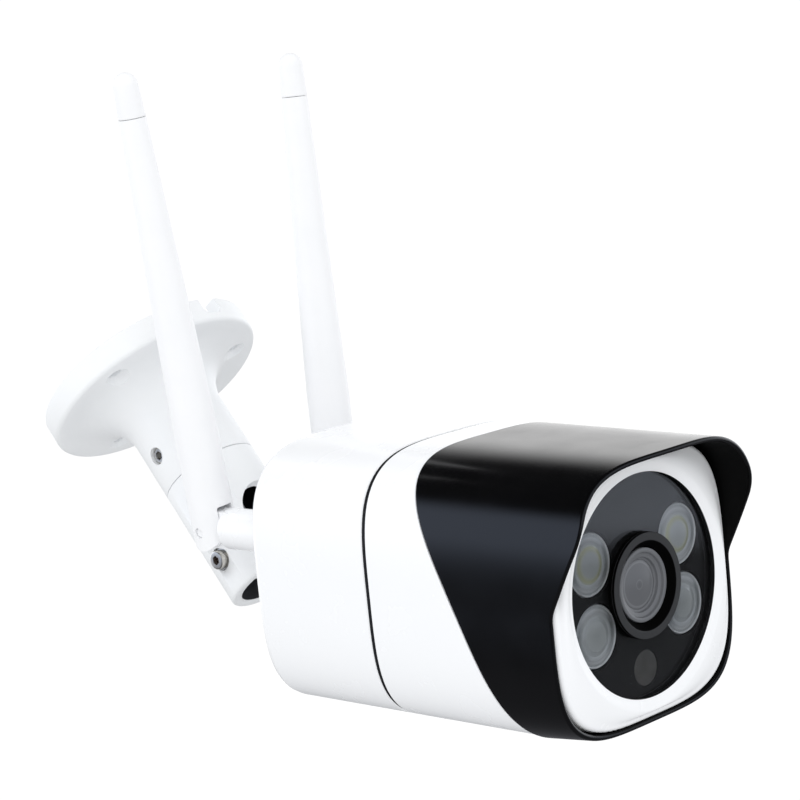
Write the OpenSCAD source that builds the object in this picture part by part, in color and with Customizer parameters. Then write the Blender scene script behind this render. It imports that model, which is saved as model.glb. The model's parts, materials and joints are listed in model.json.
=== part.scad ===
// Bullet security camera on a three-axis bracket, with two tilt-and-swivel antennas.
// The origin is the centre of the base flange's wall face. +Z is up, the lens looks along -Y.
// Bracket pieces are drawn in the bracket's own frame: its z runs out of the wall face along the
// neck, its y is the slotted side. Camera pieces are drawn in the camera's own frame: its y runs
// back from the white face, through the middle of the body. bracket_place() and camera_place()
// put the two frames where they belong.

/* [Camera body] */
// Width of the white housing
body_w = 76; // [72:0.5:92]
// Height of the white housing
body_h = 74.4; // [72:0.5:92]
// Length of the housing from the white face to the rear face
body_len = 107; // [88:0.5:130]
// Distance from the white face to the seam between the two housings
seam_y = 61.4; // [56:0.2:68]
// Squareness of the housing's section (2 is an ellipse)
corner_power = 3.1; // [2.6:0.1:5]
// Wall of the two housings
housing_wall = 2.4; // [1.8:0.1:3]
// Thickness of the rear wall
rear_wall = 3; // [2:0.1:4]
// Thickness of the rubber gasket in the seam
gasket_t = 1.2; // [0.8:0.1:2]

/* [Sun visor] */
// Wall of the visor
visor_wall = 1.7; // [1.2:0.1:2.4]
// Reach of the hood ahead of the white face at its corners
hood_reach = 9.4; // [4:0.2:16]
// Extra reach of the hood at the middle of its top
hood_bow = 1.6; // [1:0.2:6]
// Height above the camera's axis at which the hood starts
hood_start_z = 3; // [-4:0.5:8]
// Height above the camera's axis at which the hood's edge turns upright
hood_turn_z = 20.5; // [18:0.5:30]
// Length of the visor behind the white face, at the top
visor_back_top = 51; // [40:0.5:54]
// Length of the visor behind the white face, at the bottom
visor_back_bottom = 13.5; // [8:0.5:24]

/* [Window] */
// Diameter of the round opening in the white face
window_d = 58; // [56:0.5:60]
// Thickness of the cover glass
glass_t = 2; // [1.6:0.1:3]
// Depth of the dished rim round the opening
dish_depth = 0.8; // [0.8:0.1:2]
// Height that the white face swells forward round the window
face_swell = 1; // [0.6:0.1:1.2]

/* [Lights and lens] */
// Diameter of one lamp lens
lamp_d = 16.8; // [14:0.1:17]
// Angle of the lamps above and below the horizontal, in degrees
lamp_angle = 27.2; // [25:0.2:32]
// Outer diameter of the black shroud round the lens
shroud_d = 27.4; // [25:0.2:28.6]
// Diameter of the lens head
lens_head_d = 19.2; // [16:0.1:20]
// Diameter of the lens thread
lens_thread_d = 12; // [11:0.1:12.6]
// Diameter of the light sensor's window
sensor_window_d = 9.4; // [8:0.1:10]

/* [Bracket] */
// Slope of the neck below the horizontal, in degrees
neck_drop = 51; // [30:1:60]
// Diameter of the base flange
flange_d = 69; // [64:1:84]
// Thickness of the base flange
flange_t = 8; // [7:0.5:12]
// Diameter of the circle of wall screws
wall_screw_pcd = 54; // [52:1:56]
// Diameter of a wall screw hole
wall_screw_d = 4.4; // [3.6:0.1:5]
// Diameter of the neck and the arm
arm_d = 29.8; // [28:0.2:36]
// Length of the neck ahead of the flange
neck_len = 32; // [28:0.5:40]
// Distance from the flange's front to the hinge bolt
hinge_reach = 60; // [58:0.5:70]
// Length of the arm beyond the hinge bolt
arm_end = 11; // [10:0.5:16]
// Wall of the hollow arm
arm_wall = 3.2; // [2.6:0.1:4]
// Width of the slot that the stem swings in
slot_w = 16; // [14.5:0.5:18]
// Diameter of the hinge bolt
hinge_bolt_d = 3; // [2.5:0.1:4]
// Distance from the camera's rear face to the hinge bolt
stem_len = 39.2; // [38:0.5:50]
// Diameter of the stem
stem_d = 12; // [10:0.5:13]
// Distance of the stem below the middle of the camera
stem_drop = 1.9; // [0:0.1:3]

/* [Antennas] */
// Distance of each antenna from the middle
antenna_x = 25; // [22:0.2:27]
// Height of the antenna knuckles above the middle
antenna_z = 11; // [8:0.5:12]
// Distance from the rear face to the fold pin
fold_reach = 28; // [25:0.5:34]
// Diameter of the knuckle
knuckle_d = 11.8; // [11:0.1:12.4]
// Diameter of the whip at its foot
whip_foot_d = 12.8; // [12:0.1:16]
// Diameter of the whip at its tip
whip_tip_d = 7.2; // [5:0.1:8]
// Length of the whip above the fold pin
whip_len = 131; // [100:1:180]
// Length of the tip cap
tip_cap_len = 12.8; // [8:0.2:16]
// Lean of the left antenna away from upright, in degrees
lean_left = -6.2; // [-12:0.1:2]
// Lean of the right antenna away from upright, in degrees
lean_right = -0.6; // [-2:0.1:12]

/* [Fits] */
// Gap all round between a shaft and its bore
running_gap = 0.05; // [0.02:0.01:0.08]
// Gap between pieces that only lie beside each other
seat_gap = 0.1; // [0.05:0.05:0.2]

/* [Hidden] */

// Smoothness of round pieces and of the housing's section
round_fn = 72;
small_fn = 32;
section_steps = 96;

white = "#f4f5f7";
black = "#141518";
steel = "#9a9894";
board_green = "#1d4a33";
clear = "#c9d3d8";

// Places along the neck, in the bracket's frame
hinge_z = flange_t + hinge_reach;
neck_top_z = flange_t + neck_len;
arm_top_z = hinge_z + arm_end;
joint_gap = 0.3;
flare_r = 13;
spigot_d = arm_d - 8;
spigot_len = 18;
set_screw_d = 5;
set_screw_z = neck_top_z - 10;
set_screw_groove = 1.2;
cable_way_d = 13;
flange_hollow_d = flange_d - 9;
flange_hollow_t = flange_t - 3.5;
screw_angles = [30, 150, 270];
screw_head_d = 9;
screw_sink = (screw_head_d - wall_screw_d)/2;
sink_top_z = flange_t + 0.3;
screw_boss_d = 12;
slot_top_z = neck_top_z + 6;
cheek_x = 7;
cheek_d = 13;
slot_y = cheek_d/2 + 0.5;
washer_t = 0.5;
eye_d = 17;
bolt_head_d = hinge_bolt_d + 2.5;
bolt_head_h = hinge_bolt_d;
bolt_socket_d = hinge_bolt_d - 0.1;
bolt_end = 0.9;
spot_face_x = arm_d/2 - 1.2;
nut_r = hinge_bolt_d/2 + 1.7;
nut_t = 2.4;
nut_x = arm_d/2 - nut_t - 0.8;

// Places along the camera, in the camera's frame
glass_d = window_d + 3.6;
sleeve_d = glass_d + 2*seat_gap;
sleeve_wall = 1.6;
window_y = dish_depth - face_swell;
lip_back_y = window_y + 0.9;
glass_front_y = lip_back_y + 0.3;
glass_back_y = glass_front_y + glass_t;
mask_y = glass_back_y + seat_gap;
mask_t = 1.2;
board_y = mask_y + 9.2;
board_t = 1.6;
heat_sink_y = board_y + board_t;
heat_sink_t = 2;
ear_d = 6.4;
ear_bite = 0.9;
ear_r = sleeve_d/2 + sleeve_wall + ear_d/2 - ear_bite;
dish_d = window_d + 6;
swell_d = min(body_w, body_h) - 4.6;
lamp_edge = 0.5;
lamp_ring_r = window_d/2 - lamp_d/2 - lamp_edge;
lamp_x = lamp_ring_r*cos(lamp_angle);
lamp_z = lamp_ring_r*sin(lamp_angle);
lamp_dome_h = 1.2;
lamp_rim_h = board_y - mask_y - 0.1 - lamp_dome_h;
sensor_window_z = window_d/2 - sensor_window_d/2 - 2.4;
shroud_flange_t = 2;
shroud_front_y = glass_front_y - shroud_flange_t;
shroud_body_d = 2*(lamp_ring_r - lamp_d/2) - 1;
lens_head_y = glass_front_y - 0.5;
lens_head_end_y = board_y + 2.2;
lens_bore_d = lens_head_d - 5.2;
lens_exit_d = 6;
filter_y = heat_sink_y + heat_sink_t + 5;
filter_len = 9;
filter_w = 26;
filter_h = 20;
slider_w = 13.8;
slider_h = 11;
slider_t = 1.2;
slider_y = filter_y + 4.5;
slider_travel = 6.8;
slider_play = 0.2;
slide_w = slider_w + slider_travel + 2*slider_play;
lens_back_y = slider_y - 1.2;
filter_d = 5.2;
sensor_w = 8.8;
sensor_h = 7.2;
sensor_t = 1.2;
sensor_pocket = 0.5;
sensor_board_y = filter_y + filter_len;
sensor_board_w = 38;
main_board_y = sensor_board_y + board_t + 12;
main_board_w = 50;
main_board_h = 42;
post_at = 16;
post_d = 5;
back_seam_y = seam_y + gasket_t;
corner_share = pow(0.5, 1/corner_power);
screw_post_x = corner_share*body_w/2 - 3.5;
screw_post_z = corner_share*body_h/2 - 3.5;
screw_post_d = 8;
screw_head_y = back_seam_y + 8;
screw_tube_d = 6;
housing_screw_d = 3;
ear_screw_d = 2;
boss_len = 16;
rear_inner_y = body_len - rear_wall;
rear_edge = 3;
stem_thread_d = 10;
stem_boss_d = 19;
stem_boss_y = rear_inner_y - 5;
stem_nut_t = 4;
lock_ring_t = 4;
gland_z = -23;
gland_d = 9;
visor_half_w = body_w/2 + seat_gap + visor_wall;
visor_half_h = body_h/2 + seat_gap + visor_wall;
hinge_y = body_len + stem_len;

// Antennas: the whip's own frame has its origin on the fold pin and z up the whip
fold_y = body_len + fold_reach;
neck_d = 8;
collar_t = 2.6;
tongue_t = 5;
fork_gap = 5.5;
shoulder_z = 6.9;
pin_d = 3;
straight_z = 30;
cap_z = whip_len - tip_cap_len;
knuckle_end = whip_foot_d/2 + 0.6;

// ---------- placing ----------

module bracket_place() {
    rotate([90 + neck_drop, 0, 0]) children();
}

module camera_place() {
    translate([0,
               -hinge_z*cos(neck_drop) - hinge_y,
               -hinge_z*sin(neck_drop) + stem_drop])
        children();
}

// A turned piece along the camera's axis, with its back at y
module along_y(y) {
    translate([0, y, 0]) rotate([90, 0, 0]) children();
}

module disc_y(d, y0, y1, fn = round_fn) {
    along_y(y1) cylinder(d = d, h = y1 - y0, $fn = fn);
}

module cone_y(d0, y0, d1, y1) {
    along_y(y1) cylinder(d1 = d1, d2 = d0, h = y1 - y0, $fn = round_fn);
}

// ---------- the housing's section ----------

function rounded_square(half_w, half_h) = [
    for (i = [0 : section_steps - 1])
        let (a = 360*i/section_steps, c = cos(a), s = sin(a))
        [half_w*sign(c)*pow(abs(c), 2/corner_power),
         half_h*sign(s)*pow(abs(s), 2/corner_power)]
];

module section_block(half_w, half_h, y0, y1) {
    along_y(y1) linear_extrude(y1 - y0) polygon(rounded_square(half_w, half_h));
}

module housing_block(inset, y0, y1) {
    section_block(body_w/2 - inset, body_h/2 - inset, y0, y1);
}

module at_corners(x, z) {
    for (sx = [-1, 1], sz = [-1, 1]) translate([sx*x, 0, sz*z]) children();
}

// ---------- bracket ----------

// Die-cast flange and neck in one piece, with countersunk holes and a cable notch in the rim
module base_flange() {
    flare = [for (a = [0 : 10 : 90]) [arm_d/2 + flare_r*(1 - sin(a)), flange_t + flare_r*(1 - cos(a))]];
    color(white) bracket_place() difference() {
        rotate_extrude($fn = 96)
            polygon(concat(
                [[0, 0], [flange_d/2, 0], [flange_d/2, flange_t - 1], [flange_d/2 - 1, flange_t]],
                flare,
                [[arm_d/2, neck_top_z], [0, neck_top_z]]));
        translate([0, 0, -1]) cylinder(d = cable_way_d, h = neck_top_z, $fn = round_fn);
        translate([0, 0, neck_top_z - spigot_len - 1])
            cylinder(d = spigot_d + 2*running_gap, h = spigot_len + 2, $fn = round_fn);
        difference() {
            translate([0, 0, -1]) cylinder(d = flange_hollow_d, h = flange_hollow_t + 1, $fn = round_fn);
            translate([0, 0, -2]) cylinder(d = cable_way_d + 6, h = flange_t, $fn = round_fn);
            for (a = screw_angles)
                rotate([0, 0, a]) translate([wall_screw_pcd/2, 0, -2])
                    cylinder(d = screw_boss_d, h = flange_t, $fn = small_fn);
        }
        for (a = screw_angles)
            rotate([0, 0, a]) translate([wall_screw_pcd/2, 0, -1]) {
                cylinder(d = wall_screw_d, h = flange_t + 2, $fn = small_fn);
                translate([0, 0, sink_top_z - screw_sink])
                    cylinder(d1 = wall_screw_d, d2 = screw_head_d, h = screw_sink, $fn = small_fn);
                translate([0, 0, sink_top_z]) cylinder(d = screw_head_d, h = flare_r, $fn = small_fn);
            }
        rotate([0, 0, 82]) translate([0, -3.5, -1]) cube([flange_d, 7, flange_hollow_t]);
        translate([-arm_d/2 - 1, 0, set_screw_z]) rotate([0, 90, 0])
            cylinder(d = set_screw_d + 2*running_gap, h = arm_d/2, $fn = small_fn);
    }
}

// Steel set screw that locks the arm's swivel
module swivel_set_screw() {
    tip_x = spigot_d/2 - set_screw_groove + seat_gap;
    color(steel) bracket_place() translate([-arm_d/2 + 1, 0, set_screw_z]) rotate([0, 90, 0])
        difference() {
            cylinder(d = set_screw_d, h = arm_d/2 - 1 - tip_x, $fn = small_fn);
            translate([0, 0, -1]) cylinder(d = 2.9, h = 3, $fn = 6);
        }
}

// Hollow arm: a spigot that turns in the neck, and a slotted end that the stem swings in
module swivel_arm() {
    color(white) bracket_place() difference() {
        union() {
            difference() {
                translate([0, 0, neck_top_z + joint_gap])
                    cylinder(d = arm_d, h = arm_top_z - neck_top_z - joint_gap, $fn = round_fn);
                translate([0, 0, neck_top_z + 4])
                    cylinder(d = arm_d - 2*arm_wall, h = arm_top_z, $fn = round_fn);
            }
            intersection() {
                translate([0, 0, hinge_z]) rotate([0, 90, 0]) difference() {
                    cylinder(d = cheek_d, h = arm_d, center = true, $fn = round_fn);
                    cylinder(d = cheek_d + 2, h = 2*cheek_x, center = true, $fn = round_fn);
                }
                translate([0, 0, neck_top_z + 4])
                    cylinder(d = arm_d - arm_wall, h = arm_top_z, $fn = round_fn);
            }
            difference() {
                translate([0, 0, neck_top_z - spigot_len])
                    cylinder(d = spigot_d, h = spigot_len + 2, $fn = round_fn);
                difference() {
                    translate([0, 0, set_screw_z - set_screw_d/2 - 0.2])
                        cylinder(d = spigot_d + 2, h = set_screw_d + 0.4, $fn = round_fn);
                    translate([0, 0, set_screw_z - set_screw_d])
                        cylinder(d = spigot_d - 2*set_screw_groove, h = 2*set_screw_d, $fn = round_fn);
                }
            }
        }
        translate([0, 0, neck_top_z - spigot_len - 1])
            cylinder(d = cable_way_d, h = spigot_len + 8, $fn = round_fn);
        translate([-slot_w/2, slot_y, slot_top_z + slot_w/2]) cube([slot_w, arm_d, arm_top_z]);
        translate([0, slot_y, slot_top_z + slot_w/2]) rotate([-90, 0, 0])
            cylinder(d = slot_w, h = arm_d, $fn = round_fn);
        translate([0, 0, hinge_z]) rotate([0, 90, 0])
            cylinder(d = hinge_bolt_d + 2*running_gap, h = arm_d + 2, center = true, $fn = small_fn);
        translate([-arm_d/2 - 1, 0, hinge_z]) rotate([0, 90, 0])
            cylinder(d = bolt_head_d + 1.4, h = arm_d/2 + 1 - spot_face_x, $fn = small_fn);
        translate([nut_x, 0, hinge_z]) rotate([0, 90, 0])
            cylinder(r = nut_r + seat_gap, h = nut_t + 2, $fn = 6);
    }
}

// Socket-head bolt through the arm and the stem's eye
module hinge_bolt() {
    color(steel) bracket_place() translate([0, 0, hinge_z]) rotate([0, 90, 0]) difference() {
        union() {
            translate([0, 0, -spot_face_x - bolt_head_h])
                cylinder(d = bolt_head_d, h = bolt_head_h, $fn = small_fn);
            translate([0, 0, -spot_face_x])
                cylinder(d = hinge_bolt_d, h = spot_face_x + arm_d/2 - bolt_end, $fn = small_fn);
        }
        translate([0, 0, -spot_face_x - bolt_head_h - 1])
            cylinder(d = bolt_socket_d, h = 2.6, $fn = 6);
    }
}

// Nut held in a hexagonal pocket on the far side of the arm
module hinge_nut() {
    color(steel) bracket_place() translate([nut_x, 0, hinge_z]) rotate([0, 90, 0])
        difference() {
            cylinder(r = nut_r, h = nut_t, $fn = 6);
            translate([0, 0, -1]) cylinder(d = hinge_bolt_d + 2*running_gap, h = nut_t + 2, $fn = small_fn);
        }
}

// Friction washers on both sides of the stem's eye
module hinge_washers() {
    color(steel) bracket_place() for (side = [-1, 1])
        translate([side*(cheek_x - washer_t/2), 0, hinge_z]) rotate([0, 90, 0]) difference() {
            cylinder(d = cheek_d, h = washer_t, center = true, $fn = round_fn);
            cylinder(d = hinge_bolt_d + 2*running_gap, h = 2, center = true, $fn = small_fn);
        }
}

// Stem: an eye on the hinge bolt, a rod, a shoulder and a threaded end in the camera
module camera_stem() {
    eye_w = 2*(cheek_x - washer_t) - 2*running_gap;
    color(white) camera_place() translate([0, 0, -stem_drop]) difference() {
        union() {
            translate([0, hinge_y, 0]) rotate([0, 90, 0])
                cylinder(d = eye_d, h = eye_w, center = true, $fn = round_fn);
            disc_y(stem_d, body_len + lock_ring_t + 1, hinge_y - 4);
            disc_y(stem_thread_d, stem_boss_y - stem_nut_t - 1, body_len + lock_ring_t + 2);
        }
        translate([0, hinge_y, 0]) rotate([0, 90, 0])
            cylinder(d = hinge_bolt_d + 2*running_gap, h = eye_d, center = true, $fn = small_fn);
    }
}

// Knurled ring that locks the camera's roll on the stem
module stem_lock_ring() {
    knurls = 24;
    color(white) camera_place() translate([0, 0, -stem_drop]) difference() {
        disc_y(stem_boss_d, body_len + 1 + seat_gap, body_len + 1 + lock_ring_t - seat_gap);
        disc_y(stem_thread_d + 2*running_gap, body_len, body_len + lock_ring_t + 2);
        for (i = [0 : knurls - 1]) rotate([0, 360*i/knurls, 0]) translate([stem_boss_d/2 + 0.5, 0, 0])
            disc_y(1.8, body_len, body_len + lock_ring_t + 2, 16);
    }
}

// Rubber ring between the lock ring and the rear face
module stem_seal() {
    color(black) camera_place() translate([0, 0, -stem_drop]) difference() {
        disc_y(stem_boss_d - 2, body_len + seat_gap, body_len + 1);
        disc_y(stem_thread_d + 2*running_gap, body_len - 1, body_len + 2);
    }
}

// Nut inside the camera that keeps the stem in
module stem_nut() {
    color(steel) camera_place() translate([0, 0, -stem_drop]) difference() {
        disc_y(17, stem_boss_y - stem_nut_t - seat_gap, stem_boss_y - seat_gap, 6);
        disc_y(stem_thread_d + 2*running_gap, 0, body_len);
    }
}

// ---------- housing ----------

// Moulded rear housing, with tubes for the screws and a boss for the stem
module rear_housing() {
    color(white) camera_place() difference() {
        union() {
            difference() {
                union() {
                    housing_block(0, back_seam_y, body_len - rear_edge);
                    for (i = [1 : 3]) let (a = 30*i)
                        housing_block(rear_edge*(1 - cos(a)), back_seam_y, body_len - rear_edge*(1 - sin(a)));
                }
                housing_block(housing_wall, back_seam_y - 1, rear_inner_y);
            }
            intersection() {
                housing_block(housing_wall/2, back_seam_y, rear_inner_y + 1);
                at_corners(screw_post_x, screw_post_z)
                    disc_y(screw_post_d, back_seam_y, rear_inner_y + 1, small_fn);
            }
            translate([0, 0, -stem_drop]) disc_y(stem_boss_d, stem_boss_y, rear_inner_y + 1);
        }
        at_corners(screw_post_x, screw_post_z) {
            disc_y(housing_screw_d + 0.5, back_seam_y - 1, body_len, small_fn);
            disc_y(screw_tube_d, screw_head_y, body_len + 1, small_fn);
        }
        translate([0, 0, -stem_drop]) disc_y(stem_thread_d + 2*running_gap, stem_boss_y - 1, body_len + 1);
        for (side = [-1, 1]) translate([side*antenna_x, 0, antenna_z])
            disc_y(neck_d + 2*running_gap, rear_inner_y - 1, body_len + 1, small_fn);
        translate([0, 0, gland_z]) disc_y(gland_d + 2*running_gap, rear_inner_y - 1, body_len + 1, small_fn);
    }
}

// Rubber gasket pinched between the two housings
module seam_gasket() {
    color(black) camera_place() difference() {
        housing_block(0.5, seam_y, back_seam_y);
        housing_block(0.5 + housing_wall, seam_y - 1, back_seam_y + 1);
    }
}

// Moulded front housing: the white face with its dished round opening, and the glass's sleeve
module front_housing() {
    color(white) camera_place() difference() {
        union() {
            difference() {
                union() {
                    for (i = [0 : 3]) let (a = 30*i)
                        housing_block(2*(1 - sin(a)), 2*(1 - cos(a)), seam_y);
                    cone_y(dish_d + 0.6, -face_swell, swell_d, 0.3);
                }
                housing_block(housing_wall + 2, lip_back_y + 1.4, 8);
                housing_block(housing_wall, 7.9, seam_y + 1);
            }
            disc_y(sleeve_d + 2*sleeve_wall, lip_back_y, heat_sink_y - 0.6);
            intersection() {
                housing_block(housing_wall/2, lip_back_y, seam_y);
                union() {
                    for (a = [45 : 90 : 315]) rotate([0, a, 0]) translate([ear_r, 0, 0])
                        disc_y(ear_d, lip_back_y, heat_sink_y, small_fn);
                    at_corners(screw_post_x, screw_post_z)
                        disc_y(screw_post_d, seam_y - boss_len, seam_y, small_fn);
                }
            }
        }
        cone_y(dish_d, -face_swell - 0.01, window_d, window_y);
        disc_y(window_d, window_y - 0.02, lip_back_y + 1);
        disc_y(sleeve_d, lip_back_y, seam_y);
        at_corners(screw_post_x, screw_post_z)
            disc_y(housing_screw_d + 2*running_gap, seam_y - boss_len + 2, seam_y + 1, small_fn);
        for (a = [45 : 90 : 315]) rotate([0, a, 0]) translate([ear_r, 0, 0])
            disc_y(ear_screw_d + 2*running_gap, heat_sink_y - 6, heat_sink_y + 1, small_fn);
    }
}

// The visor's outline seen from the side: slanted back edge, hood ahead of the face
function visor_side() = [
    [-1, -visor_half_h - 1],
    [visor_back_bottom, -visor_half_h - 1],
    [visor_back_top, visor_half_h + 1],
    [-hood_reach - hood_bow - 1, visor_half_h + 1],
    [-hood_reach - hood_bow - 1, hood_turn_z + 6],
    [-hood_reach, hood_turn_z],
    [-1, hood_start_z]
];

// Black visor: a sleeve over the front housing that runs forward as a hood at the top
module sun_visor() {
    front_r = (pow(visor_half_w, 2) + pow(hood_bow, 2))/(2*hood_bow);
    color(black) camera_place() intersection() {
        difference() {
            section_block(visor_half_w, visor_half_h, -hood_reach - hood_bow - 2, visor_back_top + 2);
            section_block(visor_half_w - visor_wall, visor_half_h - visor_wall,
                          -hood_reach - hood_bow - 3, visor_back_top + 3);
        }
        translate([-visor_half_w - 1, 0, 0]) rotate([90, 0, 90])
            linear_extrude(2*visor_half_w + 2) polygon(visor_side());
        translate([0, front_r - hood_reach - hood_bow, -visor_half_h - 1])
            cylinder(r = front_r, h = 2*visor_half_h + 2, $fn = 360);
    }
}

// Four long screws that pull the housings together
module housing_screws() {
    color(steel) camera_place() at_corners(screw_post_x, screw_post_z) difference() {
        union() {
            disc_y(housing_screw_d, seam_y - boss_len + 3, screw_head_y + 1, small_fn);
            disc_y(screw_tube_d - 0.4, screw_head_y, screw_head_y + 2.6, small_fn);
        }
        disc_y(2.6, screw_head_y + 1, screw_head_y + 3, 6);
    }
}

// ---------- window and lights ----------

module glass_seal() {
    color(black) camera_place() difference() {
        disc_y(glass_d, lip_back_y, glass_front_y);
        disc_y(window_d + 0.6, lip_back_y - 1, glass_front_y + 1);
    }
}

module cover_glass() {
    color(clear, 0.4) camera_place() difference() {
        disc_y(glass_d, glass_front_y, glass_back_y);
        disc_y(shroud_body_d + 2*seat_gap, glass_front_y - 1, glass_back_y + 1);
    }
}

module lamp_at(sx, sz) {
    translate([sx*lamp_x, 0, sz*lamp_z]) children();
}

// Black cup behind the glass, with holes for the lamps, the lens and the light sensor
module led_mask() {
    color(black) camera_place() difference() {
        disc_y(glass_d, mask_y, board_y);
        difference() {
            disc_y(glass_d - 2, mask_y + mask_t, board_y + 1);
            translate([0, 0, -sensor_window_z]) disc_y(sensor_window_d + 2.4, mask_y, board_y + 2);
        }
        for (sx = [-1, 1], sz = [-1, 1]) lamp_at(sx, sz) disc_y(lamp_d + 0.3, mask_y - 1, board_y + 1);
        disc_y(shroud_body_d + 2*seat_gap, mask_y - 1, board_y + 1);
        translate([0, 0, -sensor_window_z]) disc_y(sensor_window_d + 2*seat_gap, mask_y - 1, board_y + 1);
    }
}

module sensor_window() {
    color("#6b6560") camera_place() translate([0, 0, -sensor_window_z])
        disc_y(sensor_window_d, mask_y + 0.1, mask_y + 3.1);
}

module light_sensor() {
    color("#7b6a58") camera_place() translate([0, 0, -sensor_window_z])
        disc_y(5, board_y - 2.6, board_y, small_fn);
}

// Moulded lamp lens: a domed front, a cone behind it and a pocket over the light
module lamp_lens(sx, sz) {
    dome = [for (i = [0 : 6]) let (t = i/6) [lamp_d/2*t, lamp_dome_h*(1 - t*t) + lamp_rim_h]];
    foot_r = 4.2;
    color(clear, 0.6) camera_place() lamp_at(sx, sz) along_y(board_y) rotate_extrude($fn = 48)
        polygon(concat([[3.1, 0], [foot_r, 0], [lamp_d/2, 5.6]],
                       [for (i = [len(dome) - 1 : -1 : 0]) dome[i]],
                       [[0, 2.6], [3.1, 2.6]]));
}

module lamp_lens_top_left() { lamp_lens(-1, 1); }
module lamp_lens_top_right() { lamp_lens(1, 1); }
module lamp_lens_bottom_left() { lamp_lens(-1, -1); }
module lamp_lens_bottom_right() { lamp_lens(1, -1); }

// Surface-mounted light: a square base and a domed die cover
module led(sx, sz, tint) {
    color(tint) camera_place() lamp_at(sx, sz) union() {
        translate([-1.9, board_y - 0.8, -1.9]) cube([3.8, 0.8, 3.8]);
        disc_y(3, board_y - 1.6, board_y - 0.7, small_fn);
    }
}

module led_top_left() { led(-1, 1, "#e8d24a"); }
module led_top_right() { led(1, 1, "#e8d24a"); }
module led_bottom_left() { led(-1, -1, "#4a4348"); }
module led_bottom_right() { led(1, -1, "#4a4348"); }

module led_board() {
    color(board_green) camera_place() difference() {
        disc_y(glass_d, board_y, board_y + board_t);
        disc_y(lens_head_d + 1, board_y - 1, board_y + board_t + 1);
    }
}

// Aluminium plate that carries the lights' heat away and holds the lens module
module heat_sink() {
    color("#a9adb2") camera_place() difference() {
        union() {
            disc_y(glass_d, heat_sink_y, heat_sink_y + heat_sink_t);
            for (a = [45 : 90 : 315]) rotate([0, a, 0]) {
                translate([ear_r, 0, 0]) disc_y(ear_d, heat_sink_y, heat_sink_y + heat_sink_t, small_fn);
                translate([ear_r - 8, heat_sink_y, -ear_d/2]) cube([8, heat_sink_t, ear_d]);
            }
        }
        disc_y(lens_head_d + 1, heat_sink_y - 1, heat_sink_y + heat_sink_t + 1);
        for (a = [45 : 90 : 315]) rotate([0, a, 0]) translate([ear_r, 0, 0])
            disc_y(ear_screw_d + 2*running_gap, heat_sink_y - 1, heat_sink_y + heat_sink_t + 1, small_fn);
    }
}

module heat_sink_screws() {
    top_y = heat_sink_y + heat_sink_t;
    color(steel) camera_place() for (a = [45 : 90 : 315]) rotate([0, a, 0]) translate([ear_r, 0, 0]) {
        disc_y(ear_screw_d, heat_sink_y - 5, top_y + 0.5, small_fn);
        disc_y(3.8, top_y, top_y + 1.4, small_fn);
    }
}

// ---------- lens module ----------

// Black collar pushed through the glass round the lens; it keeps the lamps' light out
module lens_shroud() {
    bore_d = lens_head_d + 2*seat_gap;
    color(black) camera_place() difference() {
        union() {
            disc_y(shroud_d, shroud_front_y, glass_front_y - seat_gap);
            disc_y(shroud_body_d, shroud_front_y + 1, board_y);
        }
        cone_y(shroud_d - 4, shroud_front_y - 0.01, bore_d, lens_head_y);
        disc_y(bore_d, lens_head_y - 0.1, board_y + 1);
    }
}

// Lens barrel: a wide head and a fine thread behind it
module lens_barrel() {
    color("#26272a") camera_place() difference() {
        union() {
            disc_y(lens_head_d, lens_head_y, lens_head_end_y);
            disc_y(lens_thread_d, lens_head_end_y - 1, lens_back_y);
        }
        cone_y(lens_bore_d + 2.6, lens_head_y - 0.01, lens_bore_d, lens_head_y + 1.6);
        disc_y(lens_bore_d, lens_head_y + 1.5, lens_head_y + 5);
        disc_y(lens_exit_d, lens_head_y, lens_back_y + 1);
        disc_y(lens_exit_d + 2, lens_back_y - 3, lens_back_y + 1);
    }
}

module front_lens() {
    lens_r = lens_bore_d/2 - running_gap;
    bulge = [for (i = [0 : 6]) let (t = i/6) [lens_r*t, 1.4*(1 - t*t) + 2.2]];
    color("#5c6068", 0.6) camera_place() along_y(lens_head_y + 5) rotate_extrude($fn = 48)
        polygon(concat([[0, 0], [lens_r, 0]], [for (i = [len(bulge) - 1 : -1 : 0]) bulge[i]]));
}

module rear_lens() {
    color(clear, 0.6) camera_place()
        disc_y(lens_exit_d + 2 - 2*running_gap, lens_back_y - 3, lens_back_y - 1);
}

// The image sensor's block, grown all round and forward by a margin
module sensor_block(margin) {
    translate([-sensor_w/2 - margin, sensor_board_y - sensor_t - margin, -sensor_h/2 - margin])
        cube([sensor_w + 2*margin, sensor_t + 2*margin, sensor_h + 2*margin]);
}

// Lens holder with the pocket that the day and night filters slide in
module filter_housing() {
    color(black) camera_place() difference() {
        union() {
            translate([-filter_w/2, filter_y, -filter_h/2]) cube([filter_w, filter_len, filter_h]);
            disc_y(16, heat_sink_y + heat_sink_t + 0.4, filter_y + 1);
        }
        disc_y(lens_thread_d + 2*running_gap, heat_sink_y, lens_back_y + 0.4);
        disc_y(filter_d, filter_y, sensor_board_y + 1);
        sensor_block(sensor_pocket);
        translate([-slide_w/2, slider_y - slider_play, -slider_h/2 - seat_gap])
            cube([slide_w, slider_t + 2*slider_play, slider_h + 2*seat_gap]);
    }
}

module slider_place() {
    camera_place() translate([-slider_travel/2, 0, 0]) children();
}

// Frame that a small coil moves to swap the two filters
module filter_slider() {
    color("#3a3c40") slider_place() difference() {
        translate([-slider_w/2, slider_y, -slider_h/2]) cube([slider_w, slider_t, slider_h]);
        for (side = [-1, 1]) translate([side*slider_travel/2, 0, 0])
            disc_y(filter_d, slider_y - 1, slider_y + slider_t + 1, small_fn);
    }
}

module filter_pane(side) {
    translate([side*slider_travel/2, 0, 0])
        disc_y(filter_d - 2*running_gap, slider_y + 0.2, slider_y + slider_t - 0.2, small_fn);
}

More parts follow.
